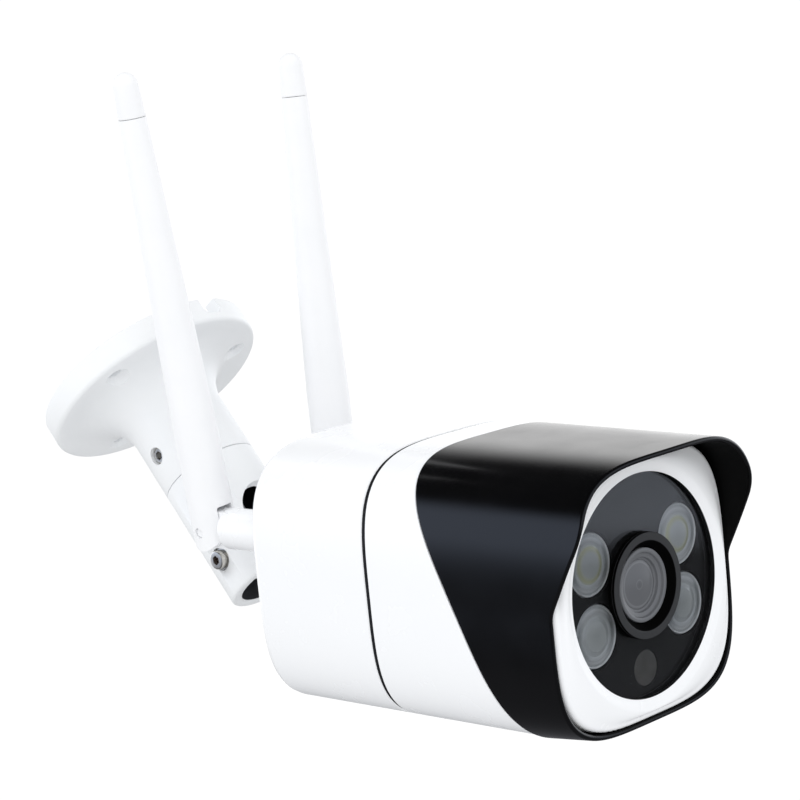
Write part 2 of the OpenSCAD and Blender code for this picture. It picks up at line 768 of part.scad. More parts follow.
module infrared_filter() { color("#8fc7c4", 0.6) slider_place() filter_pane(1); }
module clear_filter() { color(clear, 0.6) slider_place() filter_pane(-1); }

module square_board(w, h, y) {
    translate([-w/2, y, -h/2]) cube([w, board_t, h]);
}

module sensor_board() {
    color(board_green) camera_place() difference() {
        square_board(sensor_board_w, sensor_board_w, sensor_board_y);
        at_corners(post_at, post_at) disc_y(2.6, sensor_board_y - 1, sensor_board_y + 3, small_fn);
    }
}

module image_sensor() {
    color("#2c3138") camera_place() sensor_block(0);
}

// Brass posts that stack the boards behind the heat sink
module board_posts() {
    color("#b59a5a") camera_place() at_corners(post_at, post_at) {
        disc_y(post_d, heat_sink_y + heat_sink_t, sensor_board_y, small_fn);
        disc_y(post_d, sensor_board_y + board_t, main_board_y, small_fn);
        disc_y(2.4, sensor_board_y - 1, main_board_y - 1, small_fn);
    }
}

module main_board() {
    color(board_green) camera_place() square_board(main_board_w, main_board_h, main_board_y);
}

module processor() {
    color("#2a2b2e") camera_place()
        translate([-7, main_board_y + board_t, -2]) cube([14, 1.4, 14]);
}

module wifi_module() {
    color("#b9bcc0") camera_place()
        translate([-20, main_board_y + board_t, -19]) cube([18, 2.4, 13]);
}

// Rubber gland that seals the cable's way into the camera
module cable_gland() {
    color(black) camera_place() translate([0, 0, gland_z]) difference() {
        union() {
            disc_y(gland_d, rear_inner_y - 2, body_len + 1, small_fn);
            disc_y(gland_d + 3, body_len + seat_gap, body_len + 2.2, small_fn);
            cone_y(gland_d + 0.6, body_len + 2, gland_d - 1.6, body_len + 7);
        }
        disc_y(5, 0, body_len + 8, small_fn);
    }
}

// ---------- antennas ----------

module antenna_place(side) {
    camera_place() translate([side*antenna_x, 0, antenna_z]) children();
}

module whip_place(side, lean) {
    antenna_place(side) translate([0, fold_y, 0]) rotate([0, lean, 0]) children();
}

// Nuts inside the camera that hold the two knuckles
module antenna_nuts() {
    color(steel) for (side = [-1, 1]) antenna_place(side) difference() {
        disc_y(13, rear_inner_y - 2.6, rear_inner_y - seat_gap, 6);
        disc_y(neck_d + 2*running_gap, 0, body_len, small_fn);
    }
}

// Knuckle: a neck through the rear wall, a collar, and a tongue for the whip's fork
module knuckle(side, lean) {
    color(white) antenna_place(side) rotate([0, lean, 0]) difference() {
        union() {
            disc_y(neck_d, rear_inner_y - 3, body_len + 1, small_fn);
            disc_y(knuckle_d + 1.4, body_len + seat_gap, body_len + collar_t, small_fn);
            disc_y(knuckle_d, body_len + collar_t - 0.5, fold_y - knuckle_end);
            translate([-tongue_t/2, fold_y - knuckle_end - 1, -knuckle_d/2])
                cube([tongue_t, knuckle_end + 1, knuckle_d]);
            translate([0, fold_y, 0]) rotate([0, 90, 0])
                cylinder(d = knuckle_d, h = tongue_t, center = true, $fn = round_fn);
        }
        disc_y(3, 0, fold_y - knuckle_d/2 - 1, small_fn);
        translate([0, fold_y, 0]) rotate([0, 90, 0])
            cylinder(d = pin_d + 2*running_gap, h = 20, center = true, $fn = small_fn);
    }
}

module fold_pin(side, lean) {
    color(white) whip_place(side, lean) rotate([0, 90, 0])
        cylinder(d = pin_d, h = whip_foot_d - 1.4, center = true, $fn = small_fn);
}

// Whip: a fork at its foot, a straight stretch, and a taper up to the tip cap
module whip(side, lean) {
    color(white) whip_place(side, lean) difference() {
        union() {
            rotate_extrude($fn = round_fn)
                polygon([[0, 0], [whip_foot_d/2, 0], [whip_foot_d/2 - 0.1, straight_z],
                         [cap_d()/2, cap_z], [0, cap_z]]);
            intersection() {
                rotate([0, 90, 0]) cylinder(d = whip_foot_d, h = whip_foot_d, center = true, $fn = round_fn);
                cylinder(d = whip_foot_d, h = 2*whip_foot_d, center = true, $fn = round_fn);
            }
        }
        translate([-fork_gap/2, -whip_foot_d, -whip_foot_d])
            cube([fork_gap, 2*whip_foot_d, whip_foot_d + shoulder_z]);
        rotate([0, 90, 0])
            cylinder(d = pin_d + 2*running_gap, h = 2*whip_foot_d, center = true, $fn = small_fn);
        translate([0, 0, shoulder_z + 4]) cylinder(d = 4, h = whip_len, $fn = small_fn);
    }
}

function cap_d() = whip_tip_d + (whip_foot_d - whip_tip_d)*tip_cap_len/(whip_len - straight_z);

module tip_cap(side, lean) {
    r = whip_tip_d/2;
    top = [for (a = [0 : 15 : 90]) [r*cos(a), whip_len - r + r*sin(a)]];
    color(white) whip_place(side, lean)
        rotate_extrude($fn = round_fn)
            polygon(concat([[0, cap_z + seat_gap], [cap_d()/2 - 0.2, cap_z + seat_gap]], top));
}

// Copper rod and sleeve inside the whip
module radiator(side, lean) {
    color("#b4713a") whip_place(side, lean) {
        translate([0, 0, shoulder_z + 6]) cylinder(d = 1.4, h = cap_z - shoulder_z - 12, $fn = small_fn);
        translate([0, 0, 40]) cylinder(d = 3.8, h = 24, $fn = small_fn);
    }
}

module left_knuckle() { knuckle(-1, lean_left); }
module left_pin() { fold_pin(-1, lean_left); }
module left_whip() { whip(-1, lean_left); }
module left_tip_cap() { tip_cap(-1, lean_left); }
module left_radiator() { radiator(-1, lean_left); }
module right_knuckle() { knuckle(1, lean_right); }
module right_pin() { fold_pin(1, lean_right); }
module right_whip() { whip(1, lean_right); }
module right_tip_cap() { tip_cap(1, lean_right); }
module right_radiator() { radiator(1, lean_right); }

base_flange();
swivel_set_screw();
swivel_arm();
hinge_bolt();
hinge_nut();
hinge_washers();
camera_stem();
stem_lock_ring();
stem_seal();
stem_nut();
rear_housing();
seam_gasket();
front_housing();
sun_visor();
housing_screws();
glass_seal();
cover_glass();
led_mask();
sensor_window();
light_sensor();
lamp_lens_top_left();
lamp_lens_top_right();
lamp_lens_bottom_left();
lamp_lens_bottom_right();
led_top_left();
led_top_right();
led_bottom_left();
led_bottom_right();
led_board();
heat_sink();
heat_sink_screws();
lens_shroud();
lens_barrel();
front_lens();
rear_lens();
filter_housing();
filter_slider();
infrared_filter();
clear_filter();
sensor_board();
image_sensor();
board_posts();
main_board();
processor();
wifi_module();
cable_gland();
antenna_nuts();
left_knuckle();
left_pin();
left_whip();
left_tip_cap();
left_radiator();
right_knuckle();
right_pin();
right_whip();
right_tip_cap();
right_radiator();
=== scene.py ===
import json
from math import atan2, cos, hypot, pi, radians, sin, tan

import bmesh
import bpy
from mathutils import Matrix, Vector


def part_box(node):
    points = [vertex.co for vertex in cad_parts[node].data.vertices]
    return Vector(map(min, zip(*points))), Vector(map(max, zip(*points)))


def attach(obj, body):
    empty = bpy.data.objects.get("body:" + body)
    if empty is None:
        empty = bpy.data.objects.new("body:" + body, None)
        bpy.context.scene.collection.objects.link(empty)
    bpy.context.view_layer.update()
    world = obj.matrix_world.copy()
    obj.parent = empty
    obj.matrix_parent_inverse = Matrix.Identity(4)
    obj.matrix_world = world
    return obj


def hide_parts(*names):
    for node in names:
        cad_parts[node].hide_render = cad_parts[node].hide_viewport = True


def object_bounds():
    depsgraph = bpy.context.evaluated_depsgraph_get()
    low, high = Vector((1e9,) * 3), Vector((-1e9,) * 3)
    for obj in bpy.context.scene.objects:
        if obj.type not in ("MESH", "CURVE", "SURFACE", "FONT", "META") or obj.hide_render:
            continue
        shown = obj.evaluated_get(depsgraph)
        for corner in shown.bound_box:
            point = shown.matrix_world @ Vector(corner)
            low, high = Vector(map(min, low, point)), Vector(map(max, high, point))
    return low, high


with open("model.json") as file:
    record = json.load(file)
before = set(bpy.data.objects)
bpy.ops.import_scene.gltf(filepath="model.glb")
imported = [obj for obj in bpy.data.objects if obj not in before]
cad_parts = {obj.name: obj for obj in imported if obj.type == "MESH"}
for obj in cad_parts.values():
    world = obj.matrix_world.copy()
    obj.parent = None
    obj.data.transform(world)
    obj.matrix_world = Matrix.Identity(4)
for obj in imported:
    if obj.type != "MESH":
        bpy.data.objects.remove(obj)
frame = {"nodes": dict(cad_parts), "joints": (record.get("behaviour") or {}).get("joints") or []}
cad_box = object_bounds()
scene = bpy.context.scene
joints = {joint["name"]: joint for joint in frame["joints"]}

# ---------- Base flange ----------
# One aluminium die casting: a round flange with three countersunk screw holes and a cable notch in
# its rim, flaring into the neck that the arm turns in. It is powder coated white.
MM = 0.001
neck_axis = Vector(joints["base_swivel"]["axis"]).normalized()
side_axis = Vector((1, 0, 0))
flange_r, flange_t, neck_r, neck_top = 34.5, 8.0, 14.9, 40.0
cable_way_r, spigot_hole_r, spigot_low = 6.5, 10.95, 21.0
screw_circle_r, screw_hole_d, screw_head_d = 27.0, 4.4, 9.0
flare_r = 13.0


def frame_at(origin, x_axis, y_axis, z_axis):
    """The matrix that takes millimetres in a frame of its own to metres in the object's frame."""
    turn = Matrix((x_axis, y_axis, z_axis)).transposed().to_4x4()
    return Matrix.Translation(origin) @ turn @ Matrix.Scale(MM, 4)


# The bracket's own frame has z out of the wall along the neck and y on the slotted side. Each piece is
# drawn in millimetres in a frame like this one, and put in place at the end.
bracket = frame_at(Vector(joints["base_swivel"]["pos_m"]), side_axis, neck_axis.cross(side_axis), neck_axis)


def tint(code):
    """A linear colour with full alpha from an sRGB hex code."""
    parts = [int(code[i:i + 2], 16)/255 for i in (1, 3, 5)]
    return (*[c/12.92 if c <= 0.04045 else ((c + 0.055)/1.055)**2.4 for c in parts], 1)


def add_node(material, kind, inputs, **settings):
    """Adds one node, with its settings, and with each input either set to a value or linked."""
    node = material.node_tree.nodes.new(kind)
    for name, value in settings.items():
        setattr(node, name, value)
    for name, value in inputs.items():
        if isinstance(value, bpy.types.NodeSocket):
            material.node_tree.links.new(value, node.inputs[name])
        else:
            node.inputs[name].default_value = value
    return node


def blank_material(name):
    material = bpy.data.materials.new(name)
    material.use_nodes = True
    material.node_tree.nodes.clear()
    return material


def show(material, shader):
    add_node(material, "ShaderNodeOutputMaterial", {"Surface": shader.outputs[0]})
    return material


def textured(name, light, dark, roughness, grain_mm, grain_depth_mm, patch_mm=14, **sockets):
    """A surface whose colour and gloss drift a little in soft patches, over a fine even grain.
    roughness is the range that the gloss drifts in; sockets are the shader's own fixed values."""
    material = blank_material(name)
    place = add_node(material, "ShaderNodeTexCoord", {}).outputs["Object"]
    patches = add_node(material, "ShaderNodeTexNoise",
                       {"Vector": place, "Scale": 1/(patch_mm*MM), "Detail": 3.0, "Roughness": 0.55})
    colour = add_node(material, "ShaderNodeMix", {0: patches.outputs["Fac"], 6: tint(dark), 7: tint(light)},
                      data_type="RGBA")
    gloss = add_node(material, "ShaderNodeMapRange",
                     {"Value": patches.outputs["Fac"], "From Min": 0.3, "From Max": 0.7,
                      "To Min": roughness[0], "To Max": roughness[1]})
    grain = add_node(material, "ShaderNodeTexNoise",
                     {"Vector": place, "Scale": 1/(grain_mm*MM), "Detail": 2.0, "Roughness": 0.5})
    bump = add_node(material, "ShaderNodeBump",
                    {"Height": grain.outputs["Fac"], "Distance": grain_depth_mm*MM, "Strength": 1.0})
    shader = add_node(material, "ShaderNodeBsdfPrincipled",
                      {"Base Color": colour.outputs[2], "Roughness": gloss.outputs[0],
                       "Normal": bump.outputs[0], **sockets})
    return show(material, shader)


# Powder-coated die-cast aluminium: satin white with a faint orange peel about a millimetre across.
powder_coat = textured("white_powder_coat_on_cast_aluminium", "#f6f7f8", "#f0f2f4", (0.40, 0.50),
                       grain_mm=0.9, grain_depth_mm=0.003, IOR=1.5)


def soft_outline(corners, steps=4):
    """Points of a line through the corners (a, b, fillet radius), with each fillet as an arc."""
    points = []
    count = len(corners)
    for i, (a, b, radius) in enumerate(corners):
        here = Vector((a, b))
        if radius <= 0:
            points.append(here)
            continue
        before = Vector(corners[(i - 1) % count][:2]) - here
        after = Vector(corners[(i + 1) % count][:2]) - here
        half = before.angle(after)/2
        reach = radius/tan(half)
        start, end = here + before.normalized()*reach, here + after.normalized()*reach
        middle = here + (before.normalized() + after.normalized()).normalized()*radius/sin(half)
        sweep = (start - middle).angle_signed(end - middle)
        for step in range(steps + 1):
            turn = Matrix.Rotation(-sweep*step/steps, 2)
            points.append(middle + turn @ (start - middle))
    return points


def spun(corners, steps=96, closed=True, fillet_steps=4):
    """A turned solid about z from an outline of (radius, height, fillet)."""
    bm = bmesh.new()
    outline = soft_outline(corners, fillet_steps)
    dots = [bm.verts.new((max(r, 0), 0, z)) for r, z in outline]
    pairs = list(zip(dots, dots[1:])) + ([(dots[-1], dots[0])] if closed else [])
    lines = [bm.edges.new(pair) for pair in pairs]
    bmesh.ops.spin(bm, geom=dots + lines, cent=(0, 0, 0), axis=(0, 0, 1), angle=2*pi, steps=steps,
                   use_merge=True)
    bmesh.ops.remove_doubles(bm, verts=bm.verts, dist=0.0005)
    return bm


def prism(outline, low, high):
    """A closed prism with its outline in x and y, from one z to another."""
    bm = bmesh.new()
    face = bm.faces.new([bm.verts.new((x, y, low)) for x, y in outline])
    top = bmesh.ops.extrude_face_region(bm, geom=[face])["geom"]
    bmesh.ops.translate(bm, vec=(0, 0, high - low),
                        verts=[v for v in top if isinstance(v, bmesh.types.BMVert)])
    bmesh.ops.recalc_face_normals(bm, faces=bm.faces)
    return bm


def rod(diameter, low, high, steps=48):
    return spun([(0, low, 0), (diameter/2, low, 0), (diameter/2, high, 0), (0, high, 0)], steps, closed=False)


def turned_to(bm, axis):
    """Turns a solid made along z so that it lies along x or y."""
    turn = Matrix.Rotation(pi/2, 4, "Y") if axis == "x" else Matrix.Rotation(-pi/2, 4, "X")
    bmesh.ops.transform(bm, matrix=turn, verts=bm.verts)
    return bm


def moved(bm, x=0, y=0, z=0):
    bmesh.ops.translate(bm, vec=(x, y, z), verts=bm.verts)
    return bm


def loose(bm, name="tool"):
    """A mesh object from a bmesh, with its faces pointing outwards."""
    bmesh.ops.remove_doubles(bm, verts=bm.verts, dist=0.0005)
    bmesh.ops.recalc_face_normals(bm, faces=bm.faces)
    mesh = bpy.data.meshes.new(name)
    bm.to_mesh(mesh)
    bm.free()
    obj = bpy.data.objects.new(name, mesh)
    scene.collection.objects.link(obj)
    return obj


def with_modifiers_applied(obj):
    bpy.context.view_layer.update()
    shape = obj.evaluated_get(bpy.context.evaluated_depsgraph_get())
    mesh = bpy.data.meshes.new_from_object(shape)
    obj.modifiers.clear()
    obj.data = mesh
    return obj


def carve(obj, tools, operation="DIFFERENCE"):
    """Cuts, joins or keeps what the tools overlap, one tool after another."""
    for bm in tools:
        tool = loose(bm)
        modifier = obj.modifiers.new("carve", "BOOLEAN")
        modifier.operation, modifier.solver, modifier.object = operation, "EXACT", tool
        with_modifiers_applied(obj)
        bpy.data.objects.remove(tool)
    return obj


def settle(obj, name, place, rides_on, material, stands_for=(), crease=32, bevel=0):
    """Puts a finished piece in place, gives it its material and tells the frame about it."""
    obj.name = obj.data.name = name
    obj.data.transform(place)
    obj.data.materials.clear()
    obj.data.materials.append(material)
    obj.data.polygons.foreach_set("use_smooth", [True]*len(obj.data.polygons))
    if bevel:
        soften = obj.modifiers.new("soft_edges", "BEVEL")
        soften.width, soften.segments, soften.limit_method = bevel*MM, 2, "ANGLE"
        soften.angle_limit, soften.harden_normals = radians(38), True
    else:
        obj.data.set_sharp_from_angle(angle=radians(crease))
        obj.modifiers.new("even_normals", "WEIGHTED_NORMAL").keep_sharp = True
    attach(obj, rides_on)
    if stands_for:
        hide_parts(*stands_for)
    return obj


flare = [(neck_r + flare_r*(1 - sin(a)), flange_t + flare_r*(1 - cos(a)), 0)
         for a in [radians(10*i) for i in range(1, 10)]]
hub_r, rim_inner_r, recess_depth = 9.5, 30, 4.5
flange = loose(spun([(cable_way_r, 0, 0), (hub_r, 0, 0.3), (hub_r, recess_depth, 0),
                     (rim_inner_r, recess_depth, 0), (rim_inner_r, 0, 0.3),
                     (flange_r, 0, 0.5), (flange_r, flange_t, 1.4), (neck_r + flare_r + 1.5, flange_t, 0),
                     *flare, (neck_r, neck_top, 0.25), (spigot_hole_r, neck_top, 0.3),
                     (spigot_hole_r, spigot_low, 0), (cable_way_r, spigot_low, 0)], steps=144))
hole_angles = [radians(a) for a in (30, 150, 270)]
screw_boss_d, screw_boss_len = 12, 6
for angle in hole_angles:
    x, y = screw_circle_r*cos(angle), screw_circle_r*sin(angle)
    carve(flange, [moved(rod(screw_boss_d, 0, screw_boss_len, 32), x, y)], "UNION")
for angle in hole_angles:
    x, y = screw_circle_r*cos(angle), screw_circle_r*sin(angle)
    sink = (screw_head_d - screw_hole_d)/2
    carve(flange, [moved(spun([(0, -1, 0), (screw_hole_d/2, -1, 0), (screw_hole_d/2, flange_t + 1 - sink, 0),
                               (screw_head_d/2, flange_t + 1, 0), (screw_head_d/2, 20, 0), (0, 20, 0)],
                              48, closed=False), x, y)])
notch_depth_half, notch_half_w, notch_floor_r, notch_angle = 5.5, 3.5, 28.5, radians(82)
notch = turned_to(prism([(p.x, p.y) for p in soft_outline(
    [(-notch_depth_half, -notch_half_w, 2.2), (notch_depth_half, -notch_half_w, 2.2),
     (notch_depth_half, notch_half_w, 2.2), (-notch_depth_half, notch_half_w, 2.2)])],
    notch_floor_r, flange_r + 5.5), "x")
bmesh.ops.rotate(notch, cent=(0, 0, 0), matrix=Matrix.Rotation(notch_angle, 3, "Z"), verts=notch.verts)
carve(flange, [notch])
set_screw_z, set_screw_hole_d = 30.0, 5.4
carve(flange, [moved(turned_to(rod(set_screw_hole_d, -16, -10.5, 32), "x"), z=set_screw_z)])
settle(flange, "base_flange_casting", bracket, "mount_base", powder_coat, ["base_flange"],
       bevel=0.25)


# ---------- Set screw ----------
# A nickel-plated M5 grub screw in the neck, sunk a little below the casting, with a hexagon socket.
# Its thread is drawn as close rings.

# Nickel-plated steel of the bolts and nuts: bright, slightly warm, with fine turning marks.
plated_steel = textured("nickel_plated_steel", "#efece6", "#d6d2ca", (0.30, 0.42),
                        grain_mm=0.25, grain_depth_mm=0.003, patch_mm=3, Metallic=1.0)


def threaded(diameter, low, high, pitch, steps=40):
    """A screw shank along z with its thread drawn as close rings."""
    crest, root = diameter/2, diameter/2 - 0.55*pitch
    turns = int((high - low)/pitch)
    corners = [(0, low, 0), (root, low, 0)]
    for i in range(turns):
        base = low + i*pitch
        corners += [(root, base + 0.1*pitch, 0), (crest, base + 0.5*pitch, 0), (root, base + 0.9*pitch, 0)]
    return spun(corners + [(root, high, 0), (0, high, 0)], steps, closed=False)


def socket_cutter(across, low, high):
    """A hexagon, across its flats, for cutting a socket along z."""
    bm = bmesh.new()
    bmesh.ops.create_cone(bm, cap_ends=True, segments=6, radius1=across/1.732, radius2=across/1.732,
                          depth=high - low)
    return moved(bm, z=(low + high)/2)


grub = loose(moved(turned_to(threaded(4.9, -13.9, -9.9, 0.8), "x"), z=set_screw_z))
carve(grub, [moved(turned_to(socket_cutter(2.5, -15, -11.8), "x"), z=set_screw_z)])
settle(grub, "neck_set_screw", bracket, "mount_base", plated_steel, ["swivel_set_screw"])


# ---------- Swivel arm ----------
# A white die-cast tube that turns in the neck. One side is slotted for the stem, the end is open, and
# two cheeks inside it carry the hinge bolt.

# Painted shade for the arm's bore: a dark grey that stands in for the shade deep inside the white tube.
bore_painted_shade = textured("painted_shade_in_arm_bore", "#23242a", "#17181c", (0.6, 0.75), grain_mm=0.5,
                        grain_depth_mm=0.01, IOR=1.4)
arm_r, arm_bore_r, arm_low, arm_top, hinge_z = 14.9, 11.7, 40.2, 79.0, 68.0
arm = loose(spun([(cable_way_r, 22, 0), (10.9, 22, 0.5), (10.9, arm_low, 0), (arm_r, arm_low, 0.25),
                  (arm_r, arm_top, 0.9), (arm_bore_r, arm_top, 0.5), (arm_bore_r, 44, 2),
                  (cable_way_r, 44, 0)], steps=128))
cheek_d, cheek_len = 13, 6.0
carve(arm, [moved(turned_to(rod(cheek_d, low, low + cheek_len), "x"), z=hinge_z)
            for low in (-13.0, 7.0)], "UNION")
slot_half_w, slot_low, past_end = 8, 53.5, 90
slot = prism([(p.x, p.y) for p in soft_outline(
    [(-slot_half_w, slot_low, 7.9), (slot_half_w, slot_low, 7.9), (slot_half_w, past_end, 0),
     (-slot_half_w, past_end, 0)], 10)], -16, -7.05)
bmesh.ops.rotate(slot, cent=(0, 0, 0), matrix=Matrix.Rotation(pi/2, 3, "X"), verts=slot.verts)
spot_face_d, bolt_hole_d, nut_pocket_w = 7.0, 3.1, 5.7
carve(arm, [slot, moved(turned_to(rod(spot_face_d, -16, -13.7, 40), "x"), z=hinge_z),
            moved(turned_to(rod(bolt_hole_d, -16, 16, 24), "x"), z=hinge_z),
            moved(turned_to(socket_cutter(nut_pocket_w, 11.7, 16), "x"), z=hinge_z)])
# Deep in the bore, below the hinge, the faces get the painted shade instead of the white coat.
bore_shade_faces = {polygon.index for polygon in arm.data.polygons
              if hypot(polygon.center.x, polygon.center.y) < arm_bore_r + 0.05
              and polygon.center.z < hinge_z - 4}
settle(arm, "swivel_arm_casting", bracket, "arm", powder_coat, ["swivel_arm"], bevel=0.22)
arm.data.materials.append(bore_painted_shade)
for polygon in arm.data.polygons:
    polygon.material_index = int(polygon.index in bore_shade_faces)


# ---------- Hinge bolt and nut ----------
# An M3 socket-cap bolt with a flanged head in a shallow spot face, its nut let in on the far side, and
# a friction washer on each side of the stem's eye. All are nickel plated.

# A dark brown disc at the floor of the hex socket: painted shade for the dark inside of the socket.
hex_socket_painted_shade = textured("painted_shade_in_hex_socket", "#5a4030", "#2a1c14", (0.35, 0.6),
                         grain_mm=0.3, grain_depth_mm=0.006, patch_mm=1.5, Metallic=0.6)
head_out, head_in, bolt_end = -16.7, -13.7, 13.9
head_r, collar_r, shank_r, hexagon_w = 2.75, 3.3, 1.5, 2.5
bolt = loose(spun([(0, head_out, 0), (head_r, head_out, 0.45), (head_r, head_in - 0.5, 0),
                   (collar_r, head_in - 0.5, 0.1), (collar_r, head_in, 0), (shank_r, head_in, 0),
                   (shank_r, bolt_end, 0.3), (0, bolt_end, 0)], 64, closed=False))
carve(bolt, [socket_cutter(hexagon_w, head_out - 1, head_out + 1.6)])
bolt.data.transform(Matrix.Translation((0, 0, hinge_z)) @ Matrix.Rotation(pi/2, 4, "Y"))
settle(bolt, "hinge_cap_bolt", bracket, "arm", plated_steel, ["hinge_bolt"], crease=28)
# The socket's floor: a thin dark disc of painted shade.
socket_shade_disc = loose(moved(turned_to(socket_cutter(hexagon_w - 0.1, head_out + 1.3, head_out + 1.65), "x"),
                     z=hinge_z))
settle(socket_shade_disc, "hinge_bolt_socket_floor", bracket, "arm", hex_socket_painted_shade)


def finish_nodes(nodes, material):
    """Gives the frame's own pieces, which keep their working shapes, one material."""
    for node in nodes:
        frame["nodes"][node].data.materials.clear()
        frame["nodes"][node].data.materials.append(material)


finish_nodes(("hinge_nut", "hinge_washers", "stem_nut", "antenna_nuts", "heat_sink_screws"), plated_steel)


# ---------- Stem ----------
# White-coated steel: an eye that swings on the hinge bolt, a rod, and a threaded end in the rear
# housing's boss. A knurled ring locks the roll, over a rubber seal.

# Moulded EPDM rubber for gaskets, seals and the gland: black, matt, with a dry fine grain.
black_rubber = textured("black_epdm_rubber", "#15161a", "#0d0e10", (0.62, 0.75),
                        grain_mm=0.3, grain_depth_mm=0.006, IOR=1.45)
front_low, front_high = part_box("front_housing")
camera_middle = (front_low + front_high)/2
face_swell = 1.0
# The camera's own frame has its origin in the middle of the white face, and y runs back through the body.
body = frame_at(Vector((camera_middle.x, front_low.y + face_swell*MM, camera_middle.z)),
                side_axis, Vector((0, 1, 0)), Vector((0, 0, 1)))


def in_frame(place, point):
    """A point of the object's frame, in millimetres of a piece's own frame."""
    return place.inverted() @ Vector(point)


stem_axis_z = in_frame(body, joints["arm_tilt"]["pos_m"]).z
hinge_y = in_frame(body, joints["arm_tilt"]["pos_m"]).y
rear_y = in_frame(body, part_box("rear_housing")[1]).y
ring_low, ring_high = (in_frame(body, corner).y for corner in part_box("stem_lock_ring"))
stem_r, eye_r, eye_half, thread_d, thread_low = 6, 8.5, 6.45, 9.9, 96
rod_line = turned_to(spun([(0, ring_high + 0.2, 0), (stem_r, ring_high + 0.2, 0.6), (stem_r, hinge_y - 4, 0),
                           (0, hinge_y - 4, 0)], 64, closed=False), "y")
stem = loose(moved(rod_line, z=stem_axis_z))
carve(stem, [moved(turned_to(spun([(0, -eye_half, 0), (eye_r, -eye_half, 0.8), (eye_r, eye_half, 0.8),
                                   (0, eye_half, 0)], 64, closed=False), "x"), y=hinge_y, z=stem_axis_z),
             moved(turned_to(rod(thread_d, thread_low, ring_high + 1), "y"), z=stem_axis_z)], "UNION")
carve(stem, [moved(turned_to(rod(bolt_hole_d, -8, 8, 24), "x"), y=hinge_y, z=stem_axis_z)])
settle(stem, "camera_stem_rod", body, "stem", powder_coat, ["camera_stem"], bevel=0.2)
knurls, knurl_d, ring_r, ring_bore_r = 24, 1.5, 9.5, 5.05
ring = loose(moved(turned_to(spun([(ring_bore_r, ring_low, 0), (ring_r, ring_low, 0.6),
                                   (ring_r, ring_high, 0.6), (ring_bore_r, ring_high, 0.3)], 96), "y"),
                   z=stem_axis_z))
for i in range(knurls):
    angle, knurl_r = 2*pi*i/knurls, ring_r + 0.25
    carve(ring, [moved(turned_to(rod(knurl_d, ring_low - 1, ring_high + 1, 12), "y"),
                       x=knurl_r*cos(angle), z=stem_axis_z + knurl_r*sin(angle))])
settle(ring, "roll_lock_ring", body, "stem", powder_coat, ["stem_lock_ring"])
finish_nodes(("stem_seal", "glass_seal"), black_rubber)


# ---------- Housings ----------
# Two injection-moulded ABS shells with a rounded-square section, closed over a rubber gasket. The
# front one carries the white face, whose middle is dished down to the round window.

# ABS moulded in a polished tool: nearly smooth, cool white, with a tight soft gloss.
white_abs = textured("white_moulded_abs", "#f7f8fa", "#f6f7f9", (0.26, 0.28),
                     grain_mm=0.6, grain_depth_mm=0.0006, IOR=1.5)
body_half_w, body_half_h = (front_high.x - front_low.x)/2/MM, (front_high.z - front_low.z)/2/MM
squareness, wall = 3.65, 2.4
seam_y = in_frame(body, front_high).y
back_seam_y = in_frame(body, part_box("rear_housing")[0]).y
window_r = 29.0


def around(angle, half_w, half_h, power):
    """A point on a rounded square, at an angle seen from its middle. A power of 2 is an ellipse."""
    c, s = cos(angle), sin(angle)
    reach = (abs(c/half_w)**power + abs(s/half_h)**power)**(-1/power)
    return reach*c, reach*s


def lofted(stations, steps=168, closed=True):
    """A skin through stations of (half width, half height, power, y), where y may be a function of
    x and z. A closed skin comes back to its first station."""
    bm = bmesh.new()
    bmesh.ops.create_circle(bm, segments=steps, radius=1)
    ring, edges = list(bm.verts), list(bm.edges)
    angles = {v: atan2(v.co.y, v.co.x) for v in ring}
    for i, (half_w, half_h, power, y) in enumerate(stations + (stations[:1] if closed else [])):
        if i:
            before = [(v, v.co.copy()) for v in ring]
            made = bmesh.ops.extrude_edge_only(bm, edges=edges)["geom"]
            edges = [e for e in made if isinstance(e, bmesh.types.BMEdge)]
            ring = [v for v in made if isinstance(v, bmesh.types.BMVert)]
            edges = [e for e in edges if e.verts[0] in ring and e.verts[1] in ring]
            angles = {v: atan2(v.co.z, v.co.x) for v in ring}
        for v in ring:
            x, z = around(angles[v], half_w, half_h, power)
            v.co = (x, y(x, z) if callable(y) else y, z)
    bmesh.ops.remove_doubles(bm, verts=bm.verts, dist=0.0005)
    return bm


def shell_ring(inset, y):
    return (body_half_w - inset, body_half_h - inset, squareness, y)


def slanted_back(x, z):
    """The slanted line round the body where the visor ends."""
    return 31.7 + 0.46*z


rebate, front_inset, edge_r = 1.3, 2.7, 1.6
swell_y, dish_r, window_y, glass_y = -face_swell, 32.0, -0.2, 1.0
face_edge = [shell_ring(front_inset + edge_r*(1 - cos(a)), 0.2 + edge_r*(1 - sin(a)))
             for a in [radians(15*i) for i in range(7)]]
face_rim = (body_half_w - front_inset - edge_r, body_half_h - front_inset - edge_r)
face = [(face_rim[0] + (dish_r - face_rim[0])*t, face_rim[1] + (dish_r - face_rim[1])*t,
         squareness + (2 - squareness)*t**0.7, 0.2 + (swell_y - 0.2)*sin(t*pi/2))
        for t in (0.2, 0.4, 0.6, 0.8)]
dish = [(window_r + (dish_r - window_r)*(1 - t), window_r + (dish_r - window_r)*(1 - t), 2,
         swell_y + (window_y - swell_y)*t*t*(3 - 2*t)) for t in (0, 0.15, 0.3, 0.45, 0.6, 0.75, 0.9, 1)]
lip = [(window_r, window_r, 2, y) for y in (window_y + 0.1, glass_y - 0.15)]
